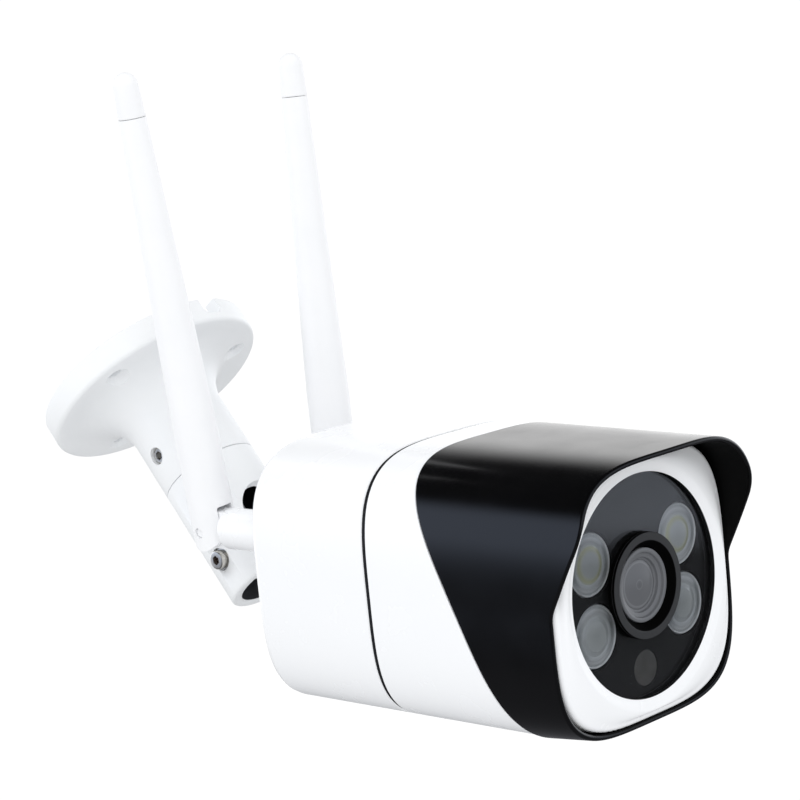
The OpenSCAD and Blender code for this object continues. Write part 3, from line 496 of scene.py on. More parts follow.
front = loose(lofted([shell_ring(wall, seam_y), shell_ring(0.3, seam_y), shell_ring(0, seam_y - 0.3),
                      shell_ring(0, lambda x, z: slanted_back(x, z) + 0.5),
                      shell_ring(0.15, lambda x, z: slanted_back(x, z) + 0.35),
                      shell_ring(rebate, lambda x, z: slanted_back(x, z) + 0.3)]
                     + face_edge + face + dish + lip
                     + [(window_r + 2, window_r + 2, 2, glass_y - 0.14), (32.5, 32.5, 2.2, 3.2),
                        shell_ring(5, 12), shell_ring(2.6, seam_y - 4)]))
# The opening's wall, in the narrow gap round the glass, is coloured black: painted shade in the gap.
window_gap_shade_faces = {polygon.index for polygon in front.data.polygons
              if hypot(polygon.center.x, polygon.center.z) < window_r + 0.1 and polygon.center.y > window_y}
settle(front, "front_housing_shell", body, "camera", white_abs, ["front_housing"], crease=40)
front.data.materials.append(black_rubber)
for polygon in front.data.polygons:
    polygon.material_index = int(polygon.index in window_gap_shade_faces)


rear_edge, rear_wall = 4.0, 3
rear_steps = [shell_ring(rear_edge*(1 - cos(a)), rear_y - rear_edge*(1 - sin(a)))
              for a in [radians(15*i) for i in range(7)]]
rear_inside = [shell_ring(6, rear_y - rear_wall), shell_ring(wall, rear_y - 6)]
rear_skin = lofted([shell_ring(wall, back_seam_y), shell_ring(0.3, back_seam_y),
                    shell_ring(0, back_seam_y + 0.3)]
                   + rear_steps + [(20, 20, 2.4, rear_y), (0.001, 0.001, 2, rear_y),
                                   (0.001, 0.001, 2, rear_y - rear_wall),
                                   (20, 20, 2.4, rear_y - rear_wall)] + rear_inside)
rear = loose(rear_skin)
screw_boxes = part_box("housing_screws")
screw_head_r, screw_tube_d = 2.8, 6.2
screw_x = in_frame(body, screw_boxes[1]).x - screw_head_r
screw_z = in_frame(body, screw_boxes[1]).z - screw_head_r
corners = [(sx*screw_x, sz*screw_z) for sx in (-1, 1) for sz in (-1, 1)]
carve(rear, [moved(turned_to(rod(screw_tube_d, rear_y - 5, rear_y + 1, 36), "y"), x=x, z=z)
             for x, z in corners])
settle(rear, "rear_housing_shell", body, "camera", white_abs, ["rear_housing"], crease=40)

# Rubber gasket in the seam: the thin dark line round the body.
gasket = loose(lofted([shell_ring(2.9, seam_y + 0.05), shell_ring(0.3, seam_y + 0.05),
                       shell_ring(0.2, (seam_y + back_seam_y)/2), shell_ring(0.3, back_seam_y - 0.05),
                       shell_ring(2.9, back_seam_y - 0.05)]))
settle(gasket, "seam_gasket_ring", body, "camera", black_rubber, ["seam_gasket"])


# ---------- Sun visor ----------
# A glossy black ABS sleeve pushed over the front housing. Its back edge is cut on a slant, and it runs
# forward above the face as a hood, deepest in the middle.

# ABS moulded in a lightly sparked tool: satin black that still mirrors large light shapes.
black_abs = textured("black_moulded_abs", "#060608", "#040405", (0.17, 0.22),
                     grain_mm=0.5, grain_depth_mm=0.0008, IOR=1.5)
# The visor's inside is spark-eroded to a dead matt, so that no stray light reaches the lens.
matt_abs = textured("black_abs_spark_eroded", "#060606", "#040404", (0.75, 0.85),
                    grain_mm=0.3, grain_depth_mm=0.004, IOR=1.25)
visor_wall, visor_gap = 1.35, 0.1
visor_back_w, visor_back_h = body_half_w + 0.15, body_half_h + 0.15
visor_front_w, visor_front_h = (half - front_inset + visor_gap + visor_wall
                                for half in (body_half_w, body_half_h))
rim_y, hood_start_z, hood_slope, hood_corner_y, hood_middle_y = 0.5, 0.5, 0.54, -10.4, -11.4


def hood_edge(x, z):
    """How far forward the visor reaches at a point of its section, with the turns in its line softened."""
    side = rim_y - hood_slope*(z - hood_start_z)
    top = hood_middle_y + (hood_corner_y - hood_middle_y)*min(abs(x)/28, 1)**1.8
    turn, start = 0.8, 0.3
    reach = max(side, top) + turn*max(0, 1 - abs(side - top)/(3*turn))**2*0.75
    return min(reach, rim_y) - start*max(0, 1 - abs(reach - rim_y)/(3*start))**2*0.75


def visor_ring(inset, forward, back):
    """A ring of the visor: forward mm behind its front edge, or back mm ahead of its slanted edge."""
    if forward is not None:
        return (visor_front_w - inset, visor_front_h - inset, squareness + 0.4,
                lambda x, z: hood_edge(x, z) + forward)
    return (visor_back_w - inset, visor_back_h - inset, squareness + 0.1,
            lambda x, z: slanted_back(x, z) - back)


rim_r = visor_wall/2
inner_edge_r, outer_edge_r = 0.2, 0.35
front_round = [visor_ring(rim_r*(1 - cos(a)), rim_r*(1 - sin(a)), None)
               for a in [radians(22.5*i) for i in range(9)]]
back_round = [visor_ring(visor_wall - inner_edge_r*(1 - cos(a)), None, inner_edge_r*(1 - sin(a)))
              for a in (0, radians(45), pi/2)]
back_round += [visor_ring(outer_edge_r*(1 - sin(a)), None, outer_edge_r*(1 - cos(a)))
               for a in (0, radians(45), pi/2)]
visor = loose(lofted(front_round + back_round, steps=224))
settle(visor, "sun_visor_shell", body, "camera", black_abs, ["sun_visor"], crease=50)
visor.data.materials.append(matt_abs)
for polygon in visor.data.polygons:
    outward = Vector((polygon.center.x - camera_middle.x, 0, polygon.center.z - camera_middle.z))
    polygon.material_index = int(polygon.normal.dot(outward) < 0 and abs(polygon.normal.y) < 0.6)


# ---------- Housing screws ----------
# Four long nickel-plated cross-head screws at the bottom of tubes in the rear corners. They draw the
# two shells together over the gasket.
head_y = in_frame(body, screw_boxes[1]).y
for number, (x, z) in enumerate(corners, 1):
    screw = loose(spun([(0, -16, 0), (shank_r, -16, 0.4), (shank_r, -2.6, 0), (screw_head_r, -2.6, 0.3),
                        (screw_head_r, -0.6, 0.6), (0, 0, 0)], 40, closed=False))
    arm_tip, arm_half = 1.7, 0.3
    quarter = [(-arm_tip, -arm_half), (-arm_half, -arm_half), (-arm_half, -arm_tip)]
    cross = prism(quarter + [(-x, z) for x, z in quarter[::-1]] + [(-x, -z) for x, z in quarter]
                  + [(x, -z) for x, z in quarter[::-1]], -1.3, 0.5)
    carve(screw, [cross])
    screw.data.transform(Matrix.Translation((x, head_y, z)) @ Matrix.Rotation(-pi/2, 4, "X"))
    settle(screw, f"housing_screw_{number}", body, "camera", plated_steel, ["housing_screws"])


# ---------- Window ----------
# A round pane of clear float glass, ground at the edge and glued into the front housing over a rubber
# seal. The lens collar passes through a hole in its middle.


def clear_pane(name, colour, roughness, ior=1.5):
    """A clear solid that lets the lamps' light straight through, and bends what is seen through it."""
    material = blank_material(name)
    place = add_node(material, "ShaderNodeTexCoord", {}).outputs["Object"]
    smears = add_node(material, "ShaderNodeTexNoise", {"Vector": place, "Scale": 1/(9*MM), "Detail": 4.0})
    gloss = add_node(material, "ShaderNodeMapRange",
                     {"Value": smears.outputs["Fac"], "From Min": 0.35, "From Max": 0.75,
                      "To Min": roughness, "To Max": roughness + 0.02})
    body_shader = add_node(material, "ShaderNodeBsdfPrincipled",
                           {"Base Color": tint(colour), "Roughness": gloss.outputs[0], "IOR": ior,
                            "Transmission Weight": 1.0})
    through = add_node(material, "ShaderNodeBsdfTransparent", {"Color": tint(colour)})
    rays = add_node(material, "ShaderNodeLightPath", {})
    mixed = add_node(material, "ShaderNodeMixShader",
                     {0: rays.outputs["Is Shadow Ray"], 1: body_shader.outputs[0], 2: through.outputs[0]})
    return show(material, mixed)


# Float glass, polished on both sides.
cover_pane = clear_pane("clear_cover_glass", "#f6f8f9", 0.0)
glass_low, glass_high = (in_frame(body, corner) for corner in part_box("cover_glass"))
glass_r = (glass_high.x - glass_low.x)/2
collar_sleeve_r = 11.2
pane_gap = 0.1
pane = loose(turned_to(spun([(collar_sleeve_r + pane_gap, glass_low.y, 0.1),
                             (glass_r - pane_gap, glass_low.y, 0.2),
                             (glass_r - pane_gap, glass_high.y, 0.2),
                             (collar_sleeve_r + pane_gap, glass_high.y, 0.1)], 128), "y"))
settle(pane, "cover_glass_pane", body, "camera", cover_pane, ["cover_glass"])


# ---------- Mask ----------
# A moulded cup of matt black nylon behind the glass, with a hole for each lamp, the lens and the light
# sensor. It hides the board and keeps stray light off the lens.

# Nylon with carbon black inside the window: matt so that it swallows stray lamp light.
matt_black = textured("matt_black_nylon", "#1f1f20", "#1b1b1c", (0.50, 0.62),
                      grain_mm=0.6, grain_depth_mm=0.0008, IOR=1.3)
mask_low, mask_high = (in_frame(body, corner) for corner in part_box("led_mask"))
mask_r = (mask_high.x - mask_low.x)/2
lamp_low, lamp_high = (in_frame(body, corner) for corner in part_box("lamp_lens_top_right"))
lamp_x, lamp_z = (lamp_low.x + lamp_high.x)/2, (lamp_low.z + lamp_high.z)/2
lamp_r = (lamp_high.x - lamp_low.x)/2
sensor_low, sensor_high = (in_frame(body, corner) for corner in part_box("sensor_window"))
sensor_z, sensor_r = (sensor_low.z + sensor_high.z)/2, (sensor_high.x - sensor_low.x)/2
shroud_low, shroud_high = (in_frame(body, corner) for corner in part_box("lens_shroud"))
shroud_r = (shroud_high.x - shroud_low.x)/2
mask_wall, mask_front = 1, 1.2
mask = loose(turned_to(spun([(0, mask_low.y, 0), (mask_r, mask_low.y, 0.3), (mask_r, mask_high.y, 0),
                             (mask_r - mask_wall, mask_high.y, 0),
                             (mask_r - mask_wall, mask_low.y + mask_front, 0),
                             (0, mask_low.y + mask_front, 0)], 128, closed=False), "y"))
lamp_places = {f"{'top' if sz > 0 else 'bottom'}_{'left' if sx < 0 else 'right'}": (sx*lamp_x, sz*lamp_z)
               for sx in (-1, 1) for sz in (1, -1)}
carve(mask, [moved(turned_to(rod(2*lamp_r + 0.2, mask_low.y - 1, mask_low.y + 2, 64), "y"), x=x, z=z)
             for x, z in lamp_places.values()]
      + [turned_to(rod(2*collar_sleeve_r + 0.2, mask_low.y - 1, mask_low.y + 2, 96), "y"),
         moved(turned_to(rod(2*sensor_r + 0.2, mask_low.y - 1, mask_low.y + 2, 48), "y"), z=sensor_z)])
settle(mask, "lamp_mask_cup", body, "camera", matt_black, ["led_mask"], bevel=0.12)


# ---------- Lamps ----------
# Four moulded acrylic lenses, pressed on the board behind the mask: a shallow dome with a rim in front,
# and a stepped cone behind that throws the light forward; its silver reflections are painted into the lens
# face. White lights with yellow phosphor are on top, infrared below.
def centred_on(material, x, z, radius_mm):
    """The place seen from in front, with 0 on the axis at x and z and 1 at the radius."""
    place = add_node(material, "ShaderNodeTexCoord", {}).outputs["Object"]
    middle, size = body @ Vector((x, 0, z)), radius_mm*MM
    return add_node(material, "ShaderNodeMapping",
                    {"Vector": place, "Location": (-middle.x/size, 0, -middle.z/size),
                     "Scale": (1/size, 0, 1/size)}).outputs[0]


def ring_colours(material, centred, stops):
    """Rings of colour round an axis. Each stop is a share of the radius and an sRGB code."""
    reach = add_node(material, "ShaderNodeVectorMath", {0: centred}, operation="LENGTH").outputs["Value"]
    ramp = add_node(material, "ShaderNodeValToRGB", {0: reach})
    ramp.color_ramp.elements[0].position, ramp.color_ramp.elements[1].position = 0, 1
    while len(ramp.color_ramp.elements) < len(stops):
        ramp.color_ramp.elements.new(0.5)
    for element, (position, code) in zip(ramp.color_ramp.elements, stops):
        element.position, element.color = position, tint(code)
    return ramp.outputs[0]


def lamp_face(name, x, z, glow):
    """Acrylic lens face with its light painted in: rings painted for the stepped cone's silver reflections, a
    thin white painted highlight near the rim, painted highlight crescents above and below, and the light's own
    tint round the middle, all brighter than the acrylic to make up for the light that the glass and mask keep
    out."""
    material = blank_material(name)
    centred = centred_on(material, x, z, lamp_r)
    upright = add_node(material, "ShaderNodeSeparateXYZ", {0: centred}).outputs["Z"]
    rings = ring_colours(material, centred,
                         [(0.0, "#c6c9c8"), (0.36, "#d2d5d3"), (0.52, glow), (0.62, "#dcdfdf"),
                          (0.78, "#a4a7a8"), (0.88, "#c8cbcc"), (0.93, "#ffffff"), (0.97, "#b4b7b9")])
    # A white band near the rim, kept to the top and bottom below: painted highlight crescents.
    painted_highlight_band = ring_colours(material, centred,
                        [(0.0, "#000000"), (0.5, "#000000"), (0.68, "#9a9a9a"), (0.8, "#ffffff"),
                         (0.88, "#303030")])
    lean = add_node(material, "ShaderNodeMath", {0: upright}, operation="ABSOLUTE").outputs[0]
    ends = add_node(material, "ShaderNodeMapRange",
                    {"Value": lean, "From Min": 0.25, "From Max": 0.8, "To Min": 0.0, "To Max": 0.75},
                    interpolation_type="SMOOTHSTEP").outputs["Result"]
    crescents = add_node(material, "ShaderNodeMath", {0: ends, 1: painted_highlight_band}, operation="MULTIPLY").outputs[0]
    colour = add_node(material, "ShaderNodeMix", {0: crescents, 6: rings, 7: tint("#ffffff")},
                      data_type="RGBA")
    shader = add_node(material, "ShaderNodeBsdfPrincipled",
                      {"Base Color": colour.outputs[2], "Roughness": 0.35, "IOR": 1.49, "Coat Weight": 1.0,
                       "Coat Roughness": 0.03})
    return show(material, shader)


board_y = in_frame(body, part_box("led_board")[0]).y
apex_y, cone_foot_r, cone_depth = lamp_low.y, 3.2, 4.5
for lamp, (x, z) in lamp_places.items():
    # The face: a shallow dome, a step, a thin rim that carries the painted highlight, and the cone behind it.
    dome = spun([(0, board_y - 0.05, 0), (cone_foot_r, board_y - 0.05, 0),
                 (lamp_r - 0.1, apex_y + cone_depth, 0.2), (lamp_r - 0.1, apex_y + 0.9, 0.2),
                 (lamp_r*0.95, apex_y + 0.45, 0.1),
                 (lamp_r*0.9, apex_y + 0.7, 0.1), (lamp_r*0.72, apex_y + 0.5, 0.3),
                 (lamp_r*0.6, apex_y + 0.55, 0.2), (lamp_r*0.45, apex_y + 0.2, 0.5), (0, apex_y, 0)],
                64, closed=False)
    look = lamp_face(f"acrylic_painted_reflections_{lamp}", x, z, "#dcdcb4" if "top" in lamp else "#d4d7d7")
    settle(loose(moved(turned_to(dome, "y"), x=x, z=z)), f"lamp_{lamp}", body, "camera", look,
           [f"lamp_lens_{lamp}"], crease=50)

# Yellow phosphor over the white lights, and the dark dies of the infrared ones under clear silicone.
phosphor = textured("yellow_phosphor", "#e9d655", "#dcc23c", (0.4, 0.5), grain_mm=0.15, grain_depth_mm=0.01,
                    patch_mm=1)
infrared_die = textured("infrared_die_in_silicone", "#5a5358", "#3c363c", (0.15, 0.25), grain_mm=0.3,
                        grain_depth_mm=0.003, patch_mm=1)
light_r, base_r = 1.5, 1.8
for lamp, (x, z) in lamp_places.items():
    light = loose(moved(turned_to(spun([(0, -1.6, 0), (1.0, -1.5, 0.3), (light_r, -0.9, 0.1),
                                        (light_r, -0.7, 0), (base_r, -0.7, 0.1), (base_r, 0, 0), (0, 0, 0)],
                                       40, closed=False), "y"), x=x, y=board_y, z=z))
    top = "top" in lamp
    settle(light, f"light_{lamp}", body, "camera",
           phosphor if top else infrared_die, [f"led_{lamp}"])


# ---------- Lens ----------
# A black ring stands forward of the lamps round the lens, then the anodised barrel with stepped
# baffles, and the front lens with its coated bulge.

# The lens head's front faces, brushed, with glare painted into their colour so that they read mid grey:
# painted reflection.
lens_head_painted_glare = textured("lens_head_grey_painted_glare", "#6b6d71", "#626468", (0.32, 0.42),
                         grain_mm=0.3, grain_depth_mm=0.002, patch_mm=6, IOR=1.6)
# The collar round the lens: black nylon with a tight matt skin. Its inside and side walls are painted near
# black, darker than its face: painted shade.
collar_face = textured("black_nylon_collar_face", "#2f3032", "#2a2b2d", (0.45, 0.55),
                       grain_mm=0.6, grain_depth_mm=0.0008, IOR=1.4)
collar_painted_shade = textured("black_nylon_painted_shade", "#040404", "#030303", (0.8, 0.9),
                       grain_mm=0.3, grain_depth_mm=0.004, IOR=1.15)
barrel_low, barrel_high = (in_frame(body, corner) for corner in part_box("lens_barrel"))
lens_head_r = (barrel_high.x - barrel_low.x)/2
front_y = barrel_low.y
collar_lip = 2.1
shroud = turned_to(spun([(shroud_r, shroud_low.y, 0.25), (shroud_r, shroud_low.y + 0.7, 0.1),
                         (shroud_r - 0.15, shroud_low.y + 0.8, 0), (shroud_r, shroud_low.y + 0.9, 0.1),
                         (shroud_r, glass_y - 0.05, 0.1), (collar_sleeve_r, glass_y - 0.05, 0),
                         (collar_sleeve_r, shroud_high.y, 0), (lens_head_r + 0.1, shroud_high.y, 0),
                         (lens_head_r + 0.1, front_y + 0.5, 0), (lens_head_r + 0.4, front_y + 0.1, 0.2),
                         (shroud_r - collar_lip, shroud_low.y, 0.3)], 128), "y")
collar = settle(loose(shroud), "lens_collar_ring", body, "camera", collar_painted_shade,
                ["lens_shroud"], crease=28)
collar.data.materials.append(collar_face)
# Faces looking forward keep the face colour; every other face gets the painted shade.
for polygon in collar.data.polygons:
    polygon.material_index = int(polygon.normal.y < -0.8)
lens_r, head_len, thread_r, tube_r, tube_bore_r = 6.4, 13.5, 6, 4, 3
barrel = turned_to(spun([(lens_head_r, front_y, 0.3), (lens_head_r, front_y + head_len, 0.2),
                         (thread_r, front_y + head_len, 0), (thread_r, barrel_high.y, 0),
                         (tube_r, barrel_high.y, 0), (tube_r, barrel_high.y - 3, 0),
                         (tube_bore_r, barrel_high.y - 3, 0), (tube_bore_r, front_y + 5.2, 0),
                         (lens_r, front_y + 5.2, 0), (lens_r, front_y + 1.75, 0.1),
                         (7.0, front_y + 1.65, 0.1), (7.15, front_y + 0.95, 0.1), (8.2, front_y + 0.75, 0.15),
                         (8.4, front_y + 0.1, 0.15), (8.8, front_y, 0.1)], 96), "y")
settle(loose(barrel), "lens_barrel_body", body, "camera", lens_head_painted_glare, ["lens_barrel"],
       crease=24)

# Coated front lens: dark and glossy, with faint lighter rings painted on for the lens edges seen behind it:
# painted reflections.
lens_coating = blank_material("coated_front_lens")
rings = ring_colours(lens_coating, centred_on(lens_coating, 0, 0, lens_r),
                     [(0.0, "#55575a"), (0.15, "#5a5c60"), (0.18, "#6c6e72"), (0.22, "#5c5e62"),
                      (0.84, "#606266"), (0.88, "#75777b"), (1.0, "#5c5e62")])
show(lens_coating, add_node(lens_coating, "ShaderNodeBsdfPrincipled",
                            {"Base Color": rings, "Roughness": 0.3, "IOR": 1.5, "Coat Weight": 0.3,
                             "Coat Roughness": 0.1}))
glass_edge_r, bulge = lens_r - 0.05, 0.5
lens_points = [(glass_edge_r*t, front_y + 1.35 + bulge*t*t, 0)
               for t in (0, 0.15, 0.3, 0.45, 0.6, 0.75, 0.9, 1)]
front_lens = turned_to(spun(lens_points + [(glass_edge_r, front_y + 2.9, 0), (0, front_y + 2.9, 0)], 96,
                            closed=False), "y")
settle(loose(front_lens), "front_lens_glass", body, "camera", lens_coating, ["front_lens"],
       crease=40)


# ---------- Light sensor ----------
# A round window of brownish smoked polycarbonate, pushed into the mask low down. The photocell sits
# behind it on the board.
sensor_plastic = textured("brown_smoked_polycarbonate", "#6a6865", "#55524f", (0.12, 0.2), grain_mm=0.6,
                          grain_depth_mm=0.002, patch_mm=4, IOR=1.58)
window = spun([(0, sensor_low.y, 0), (sensor_r, sensor_low.y, 0.3), (sensor_r, sensor_high.y, 0),
               (0, sensor_high.y, 0)], 64, closed=False)
settle(loose(moved(turned_to(window, "y"), z=sensor_z)), "sensor_window_disc", body, "camera",
       sensor_plastic, ["sensor_window"])


# ---------- Inside ----------
# The boards, lens holder, filters and their fixings are bought-in parts, screwed or snapped together
# behind the mask. They keep their working shapes.

# Glass-fibre board under black solder mask.
solder_mask = textured("black_solder_mask", "#141a17", "#0c110f", (0.30, 0.42),
                       grain_mm=0.5, grain_depth_mm=0.01, IOR=1.5)
# Turned brass posts.
turned_brass = textured("turned_brass", "#d9b76a", "#c29b4c", (0.22, 0.34),
                        grain_mm=0.3, grain_depth_mm=0.003, Metallic=1.0)
# Epoxy chip bodies, and the image sensor under its cover.
epoxy = textured("black_epoxy", "#26272a", "#1b1c1f", (0.45, 0.6), grain_mm=0.2, grain_depth_mm=0.003)
# Rolled aluminium sheet behind the lights.
rolled_aluminium = textured("rolled_aluminium", "#c9ccd0", "#b2b6ba", (0.30, 0.42),
                            grain_mm=0.4, grain_depth_mm=0.004, Metallic=1.0)
# Tinned steel shield over the radio.
tin_plate = textured("tin_plate", "#cfd1d3", "#b9bcbf", (0.24, 0.36), grain_mm=0.5, grain_depth_mm=0.003,
                     Metallic=1.0)
# Bare copper of the antenna rods.
bare_copper = textured("bare_copper", "#d98c5f", "#b96c42", (0.24, 0.38), grain_mm=0.4,
                       grain_depth_mm=0.003, Metallic=1.0)
# Clear acrylic, moulded for the rear lens and the two filter panes.
clear_acrylic = clear_pane("clear_moulded_acrylic", "#f2f5f6", 0.03, 1.49)
for nodes, material in ((("light_sensor", "image_sensor", "processor"), epoxy),
                        (("led_board", "sensor_board", "main_board"), solder_mask),
                        (("heat_sink",), rolled_aluminium), (("board_posts",), turned_brass),
                        (("filter_housing", "filter_slider"), matt_black), (("wifi_module",), tin_plate),
                        (("left_radiator", "right_radiator"), bare_copper),
                        (("rear_lens", "clear_filter", "infrared_filter"), clear_acrylic)):
    finish_nodes(nodes, material)


# ---------- Cable gland ----------
# A ribbed cone of moulded rubber, pushed into the rear face, that seals round the cable. No cable is
# fitted.
gland_low, gland_high = (in_frame(body, corner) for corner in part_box("cable_gland"))
gland_z = (gland_low.z + gland_high.z)/2
cable_r, plug_r, cuff_r, rib_count, rib_pitch, rib_taper = 2.5, 4.4, 6, 4, 1.15, 0.3
ribs = []
for i in range(rib_count):
    y, rib_r, root_r = rear_y + 2.4 + rib_pitch*i, 4.7 - rib_taper*i, 3.9 - rib_taper*i
    ribs += [(rib_r, y, 0.2), (rib_r, y + 0.6, 0.2), (root_r, y + 0.75, 0), (root_r, y + 1.1, 0)]
gland = spun([(cable_r, rear_y - 5, 0), (plug_r, rear_y - 5, 0), (plug_r, rear_y + 0.1, 0),
              (cuff_r, rear_y + 0.1, 0.3), (cuff_r, rear_y + 2.2, 0.8), (plug_r, rear_y + 2.2, 0)]
             + ribs + [(cable_r, rear_y + 7, 0.2)], 64)
settle(loose(moved(turned_to(gland, "y"), z=gland_z)), "cable_gland_boot", body, "camera",
       black_rubber, ["cable_gland"])


# ---------- Antennas ----------
# Each has an ABS knuckle on the rear face, a plastic pin, and a whip moulded in white elastomer over a
# copper rod, with a fork at its foot and a cap pushed on its tip.

# Thermoplastic elastomer over the antenna rods: white, a little softer and warmer than the ABS.
antenna_rubber = textured("white_antenna_elastomer", "#f8f8f9", "#f2f3f5", (0.42, 0.52),
                          grain_mm=0.8, grain_depth_mm=0.006, IOR=1.48)
foot_r, tip_r, whip_len, cap_len, straight_z = 6.4, 3.6, 131.0, 12.8, 30.0
fork_half, shoulder_z, tongue_half, knuckle_r, cuff_ring_r = 2.75, 6.9, 2.5, 5.9, 6.55
pin_hole_d, pin_r, pin_half = 3.1, 1.45, 5.75
for side in ("left", "right"):
    fold = joints[f"{side}_antenna_fold"]
    x_axis = -Vector(fold["axis"]).normalized()
    whip_frame = frame_at(Vector(fold["pos_m"]), x_axis, Vector((0, 1, 0)), x_axis.cross(Vector((0, 1, 0))))
    back_y = in_frame(whip_frame, body @ Vector((0, rear_y, 0))).y
    # Knuckle: a collar on the rear face, a barrel and a tongue for the fork.
    barrel_end = -foot_r - 0.6
    knuckle = loose(turned_to(spun([(0, back_y + 0.1, 0), (cuff_ring_r, back_y + 0.1, 0.3),
                                    (cuff_ring_r, back_y + 2.6, 0.7), (knuckle_r, back_y + 2.6, 0),
                                    (knuckle_r, barrel_end, 0.9), (0, barrel_end, 0)], 64,
                                   closed=False), "y"))
    tongue = prism([(p.x, p.y) for p in soft_outline(
        [(-knuckle_r + 0.4, barrel_end - 3, 0), (-knuckle_r + 0.4, 5.4, 5.3), (knuckle_r - 0.4, 5.4, 5.3),
         (knuckle_r - 0.4, barrel_end - 3, 0)], 12)], -tongue_half, tongue_half)
    bmesh.ops.transform(tongue, matrix=Matrix(((0, 0, 1, 0), (0, 1, 0, 0), (1, 0, 0, 0), (0, 0, 0, 1))),
                        verts=tongue.verts)
    carve(knuckle, [tongue], "UNION")
    carve(knuckle, [turned_to(rod(pin_hole_d, -9, 9, 24), "x")])
    settle(knuckle, f"{side}_knuckle_moulding", whip_frame, f"{side}_antenna_base",
           white_abs, [f"{side}_knuckle"], bevel=0.2)
    # Pin: pressed in flush, with a shallow dimple.
    pin = loose(turned_to(spun([(0, 0.2 - pin_half, 0), (0.7, -pin_half, 0), (pin_r, -pin_half, 0.25),
                                (pin_r, pin_half, 0.25), (0.7, pin_half, 0), (0, pin_half - 0.2, 0)],
                               32, closed=False), "x"))
    settle(pin, f"{side}_fold_pin", whip_frame, f"{side}_antenna_base", antenna_rubber,
           [f"{side}_pin"])
    # Whip: one moulding over the copper, round-footed and forked, straight at first, then tapering.
    cap_z = whip_len - cap_len
    cap_r = tip_r + (foot_r - tip_r)*cap_len/(whip_len - straight_z)
    whip = loose(spun([(0, -foot_r, 0), (foot_r, -foot_r, 0.1), (foot_r, 10, 0),
                       (foot_r - 0.05, straight_z, 0), (cap_r, cap_z, 0.15), (0, cap_z, 0)], 72, closed=False))
    foot_outline = [(foot_r*cos(a), 0.84*foot_r*sin(a)) for a in [pi + pi*i/24 for i in range(25)]]
    foot = prism([(-8, 140)] + foot_outline + [(8, 140)], -9, 9)
    bmesh.ops.transform(foot, matrix=Matrix(((0, 0, 1, 0), (1, 0, 0, 0), (0, 1, 0, 0), (0, 0, 0, 1))),
                        verts=foot.verts)
    carve(whip, [foot], "INTERSECT")
    gap = prism([(p.x, p.y) for p in soft_outline(
        [(-fork_half, -9, 0), (fork_half, -9, 0), (fork_half, shoulder_z, 0.6),
         (-fork_half, shoulder_z, 0.6)])], -9, 9)
    bmesh.ops.rotate(gap, cent=(0, 0, 0), matrix=Matrix.Rotation(pi/2, 3, "X"), verts=gap.verts)
    carve(whip, [gap, turned_to(rod(pin_hole_d, -9, 9, 24), "x")])
    settle(whip, f"{side}_whip_sleeve", whip_frame, f"{side}_antenna_whip", antenna_rubber,
           [f"{side}_whip"], bevel=0.25)
    # Tip cap: pushed on over the rod's end, with a fine groove where it meets the sleeve.
    cap = loose(spun([(0, cap_z + 0.15, 0), (cap_r - 0.15, cap_z + 0.15, 0.1), (cap_r - 0.02, cap_z + 0.6, 0),
                      (tip_r, whip_len - tip_r, 0)]
                     + [(tip_r*cos(a), whip_len - tip_r + tip_r*sin(a), 0)
                        for a in [radians(15*i) for i in range(1, 6)]]
                     + [(0, whip_len, 0)], 72, closed=False))
    settle(cap, f"{side}_tip_cap_moulding", whip_frame, f"{side}_antenna_whip",
           antenna_rubber, [f"{side}_tip_cap"], crease=40)


# ---------- Stage ----------
# A plain white floor below the object and a soft white surround. Mirror-like surfaces see a darker room
# with a pale wall behind, a grey wall ahead and a strip of daylight low on the left.

# A long lens looks at the camera's lamp side from a little above, tilted a few degrees.
eye_azimuth, eye_elevation, eye_roll = radians(-45.14), radians(8.6), radians(-5.83)
eye_back = Vector((sin(eye_azimuth)*cos(eye_elevation), -cos(eye_azimuth)*cos(eye_elevation),
                   sin(eye_elevation)))
eye_right = Vector((0, 0, 1)).cross(eye_back).normalized()
eye_turn = Matrix((eye_right, eye_back.cross(eye_right), eye_back)).transposed()
eye = bpy.data.objects.new("eye", bpy.data.cameras.new("eye"))
eye.data.sensor_width = 36
eye.data.lens = 104.7
eye.data.clip_start, eye.data.clip_end = 0.01, 20
eye.matrix_world = (Matrix.Translation(body @ Vector((-447.9, -365.2, 140.6)))
                    @ (eye_turn @ Matrix.Rotation(eye_roll, 3, "Z")).to_4x4())
scene.collection.objects.link(eye)
scene.camera = eye
scene.view_settings.view_transform = "Standard"
scene.view_settings.look = "None"

# The floor gives its own even white and shows in nothing else.
floor_material = blank_material("white_floor")
floor_shader = add_node(floor_material, "ShaderNodeEmission", {"Color": tint("#ffffff"), "Strength": 1.05})
show(floor_material, floor_shader)
floor_bm = bmesh.new()
bmesh.ops.create_circle(floor_bm, cap_ends=True, segments=96, radius=6)
floor = loose(floor_bm, "floor")
floor.data.transform(Matrix.Translation((0, 0, cad_box[0].z - 0.32)))
floor.data.materials.append(floor_material)
floor.visible_glossy = floor.visible_diffuse = floor.visible_transmission = False

world = bpy.data.worlds.new("surround")
scene.world = world
world.use_nodes = True
world.node_tree.nodes.clear()
way = add_node(world, "ShaderNodeTexCoord", {}).outputs["Generated"]
height = add_node(world, "ShaderNodeSeparateXYZ", {0: way}).outputs["Z"]


def sums(operation, *values):
    return add_node(world, "ShaderNodeMath", dict(enumerate(values)), operation=operation).outputs[0]


def towards(direction):
    """How far a way of looking points in a direction: 1 straight at it, 0 across it."""
    return add_node(world, "ShaderNodeVectorMath", {0: way, 1: Vector(direction).normalized()},
                    operation="DOT_PRODUCT").outputs["Value"]


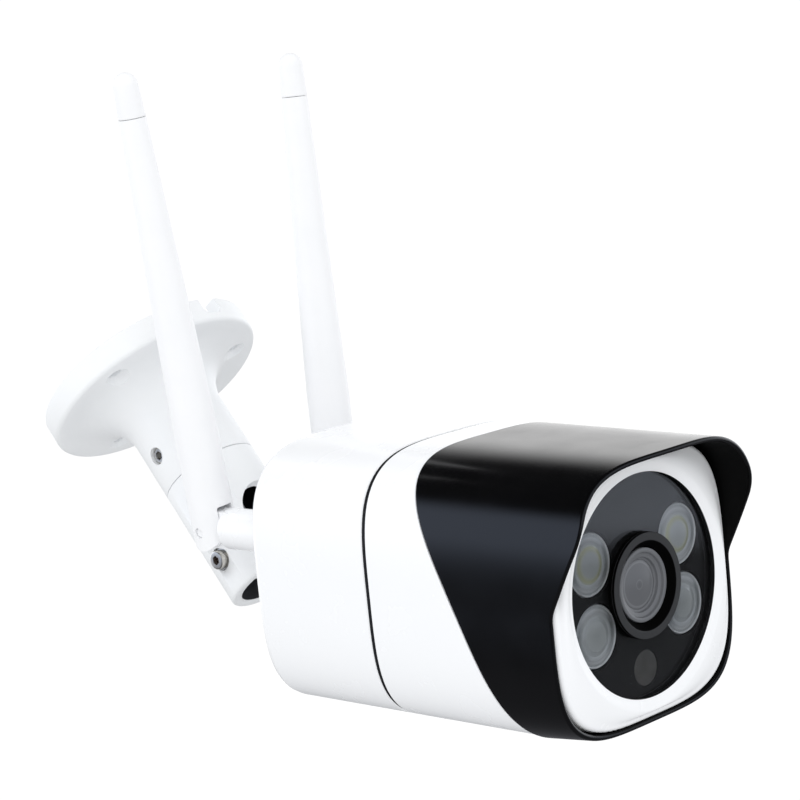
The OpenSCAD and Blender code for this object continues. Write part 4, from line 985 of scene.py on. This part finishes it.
def fade(value, low, high):
    """Rises smoothly from 0 at one value to 1 at another; falls if low is above high."""
    up = low < high
    return add_node(world, "ShaderNodeMapRange",
                    {"Value": value, "From Min": min(low, high), "From Max": max(low, high),
                                                  "To Min": 0.0 if up else 1.0, "To Max": 1.0 if up else 0.0},
                    interpolation_type="SMOOTHSTEP").outputs["Result"]


def background(layers):
    """Adds up layers of (strength, hex colour) into one background shader."""
    total = None
    for strength, code in layers:
        layer = add_node(world, "ShaderNodeVectorMath", {0: tint(code)[:3], "Scale": strength},
                         operation="SCALE")
        total = layer.outputs[0] if total is None else add_node(
            world, "ShaderNodeVectorMath", {0: total, 1: layer.outputs[0]}, operation="ADD").outputs[0]
    return add_node(world, "ShaderNodeBackground", {"Color": total, "Strength": 1.0}).outputs[0]


# What lights the matt surfaces: brightest from the left, a little weaker from below.
ambient = sums("ADD", sums("ADD", 0.84, sums("MULTIPLY", 0.10, fade(height, -0.6, 0.5))),
               sums("ADD", sums("MULTIPLY", 0.24, fade(towards((-1, 0.1, 0.15)), 0.1, 1.0)),
                    sums("MULTIPLY", 0.12, fade(towards((0.3, -1, 0)), 0.2, 1.0))))
lit = background([(ambient, "#fdfeff")])
# What mirror-like surfaces see.
back_wall = sums("MULTIPLY", sums("MULTIPLY", 1.45, fade(towards((1, 1, 0)), 0.1, 0.62)),
                 sums("MULTIPLY", fade(height, 0.60, 0.16), fade(height, -0.5, -0.1)))
left_strip = sums("MULTIPLY", sums("MULTIPLY", 1.15, fade(towards((-1, 1, 0)), 0.45, 0.8)),
                  sums("MULTIPLY", fade(height, 0.55, 0.30), fade(height, -0.27, 0.0)))
front_wall = sums("MULTIPLY", sums("MULTIPLY", 0.72, fade(towards((1, -1, 0)), 0.1, 0.5)),
                  sums("MULTIPLY", fade(height, -0.228, -0.208), fade(height, 0.6, 0.2)))
low_glow = sums("MULTIPLY", 0.15, fade(height, -0.12, -0.42))
mirrored = background([(back_wall, "#ffffff"), (left_strip, "#d6e4ff"), (front_wall, "#dbe2f0"),
                       (low_glow, "#f2f4ff"), (0.012, "#ffffff")])
plain = background([(1.05, "#ffffff")])
rays = add_node(world, "ShaderNodeLightPath", {})
unlit = add_node(world, "ShaderNodeMixShader",
                 {0: rays.outputs["Is Glossy Ray"], 1: lit, 2: mirrored}).outputs[0]
seen = add_node(world, "ShaderNodeMixShader",
                {0: rays.outputs["Is Camera Ray"], 1: unlit, 2: plain}).outputs[0]
add_node(world, "ShaderNodeOutputWorld", {"Surface": seen})


# One square soft light up on the left faces the middle of the camera body, for the soft shadows.
lamp = bpy.data.lights.new("key_light", "AREA")
lamp.size, lamp.energy = 0.7, 3
holder = bpy.data.objects.new("key_light", lamp)
spot, aim = body @ Vector((-700, -700, 900)), body @ Vector((0, 50, 0))
holder.matrix_world = Matrix.Translation(spot) @ (spot - aim).to_track_quat("Z", "Y").to_matrix().to_4x4()
holder.visible_glossy = False
scene.collection.objects.link(holder)
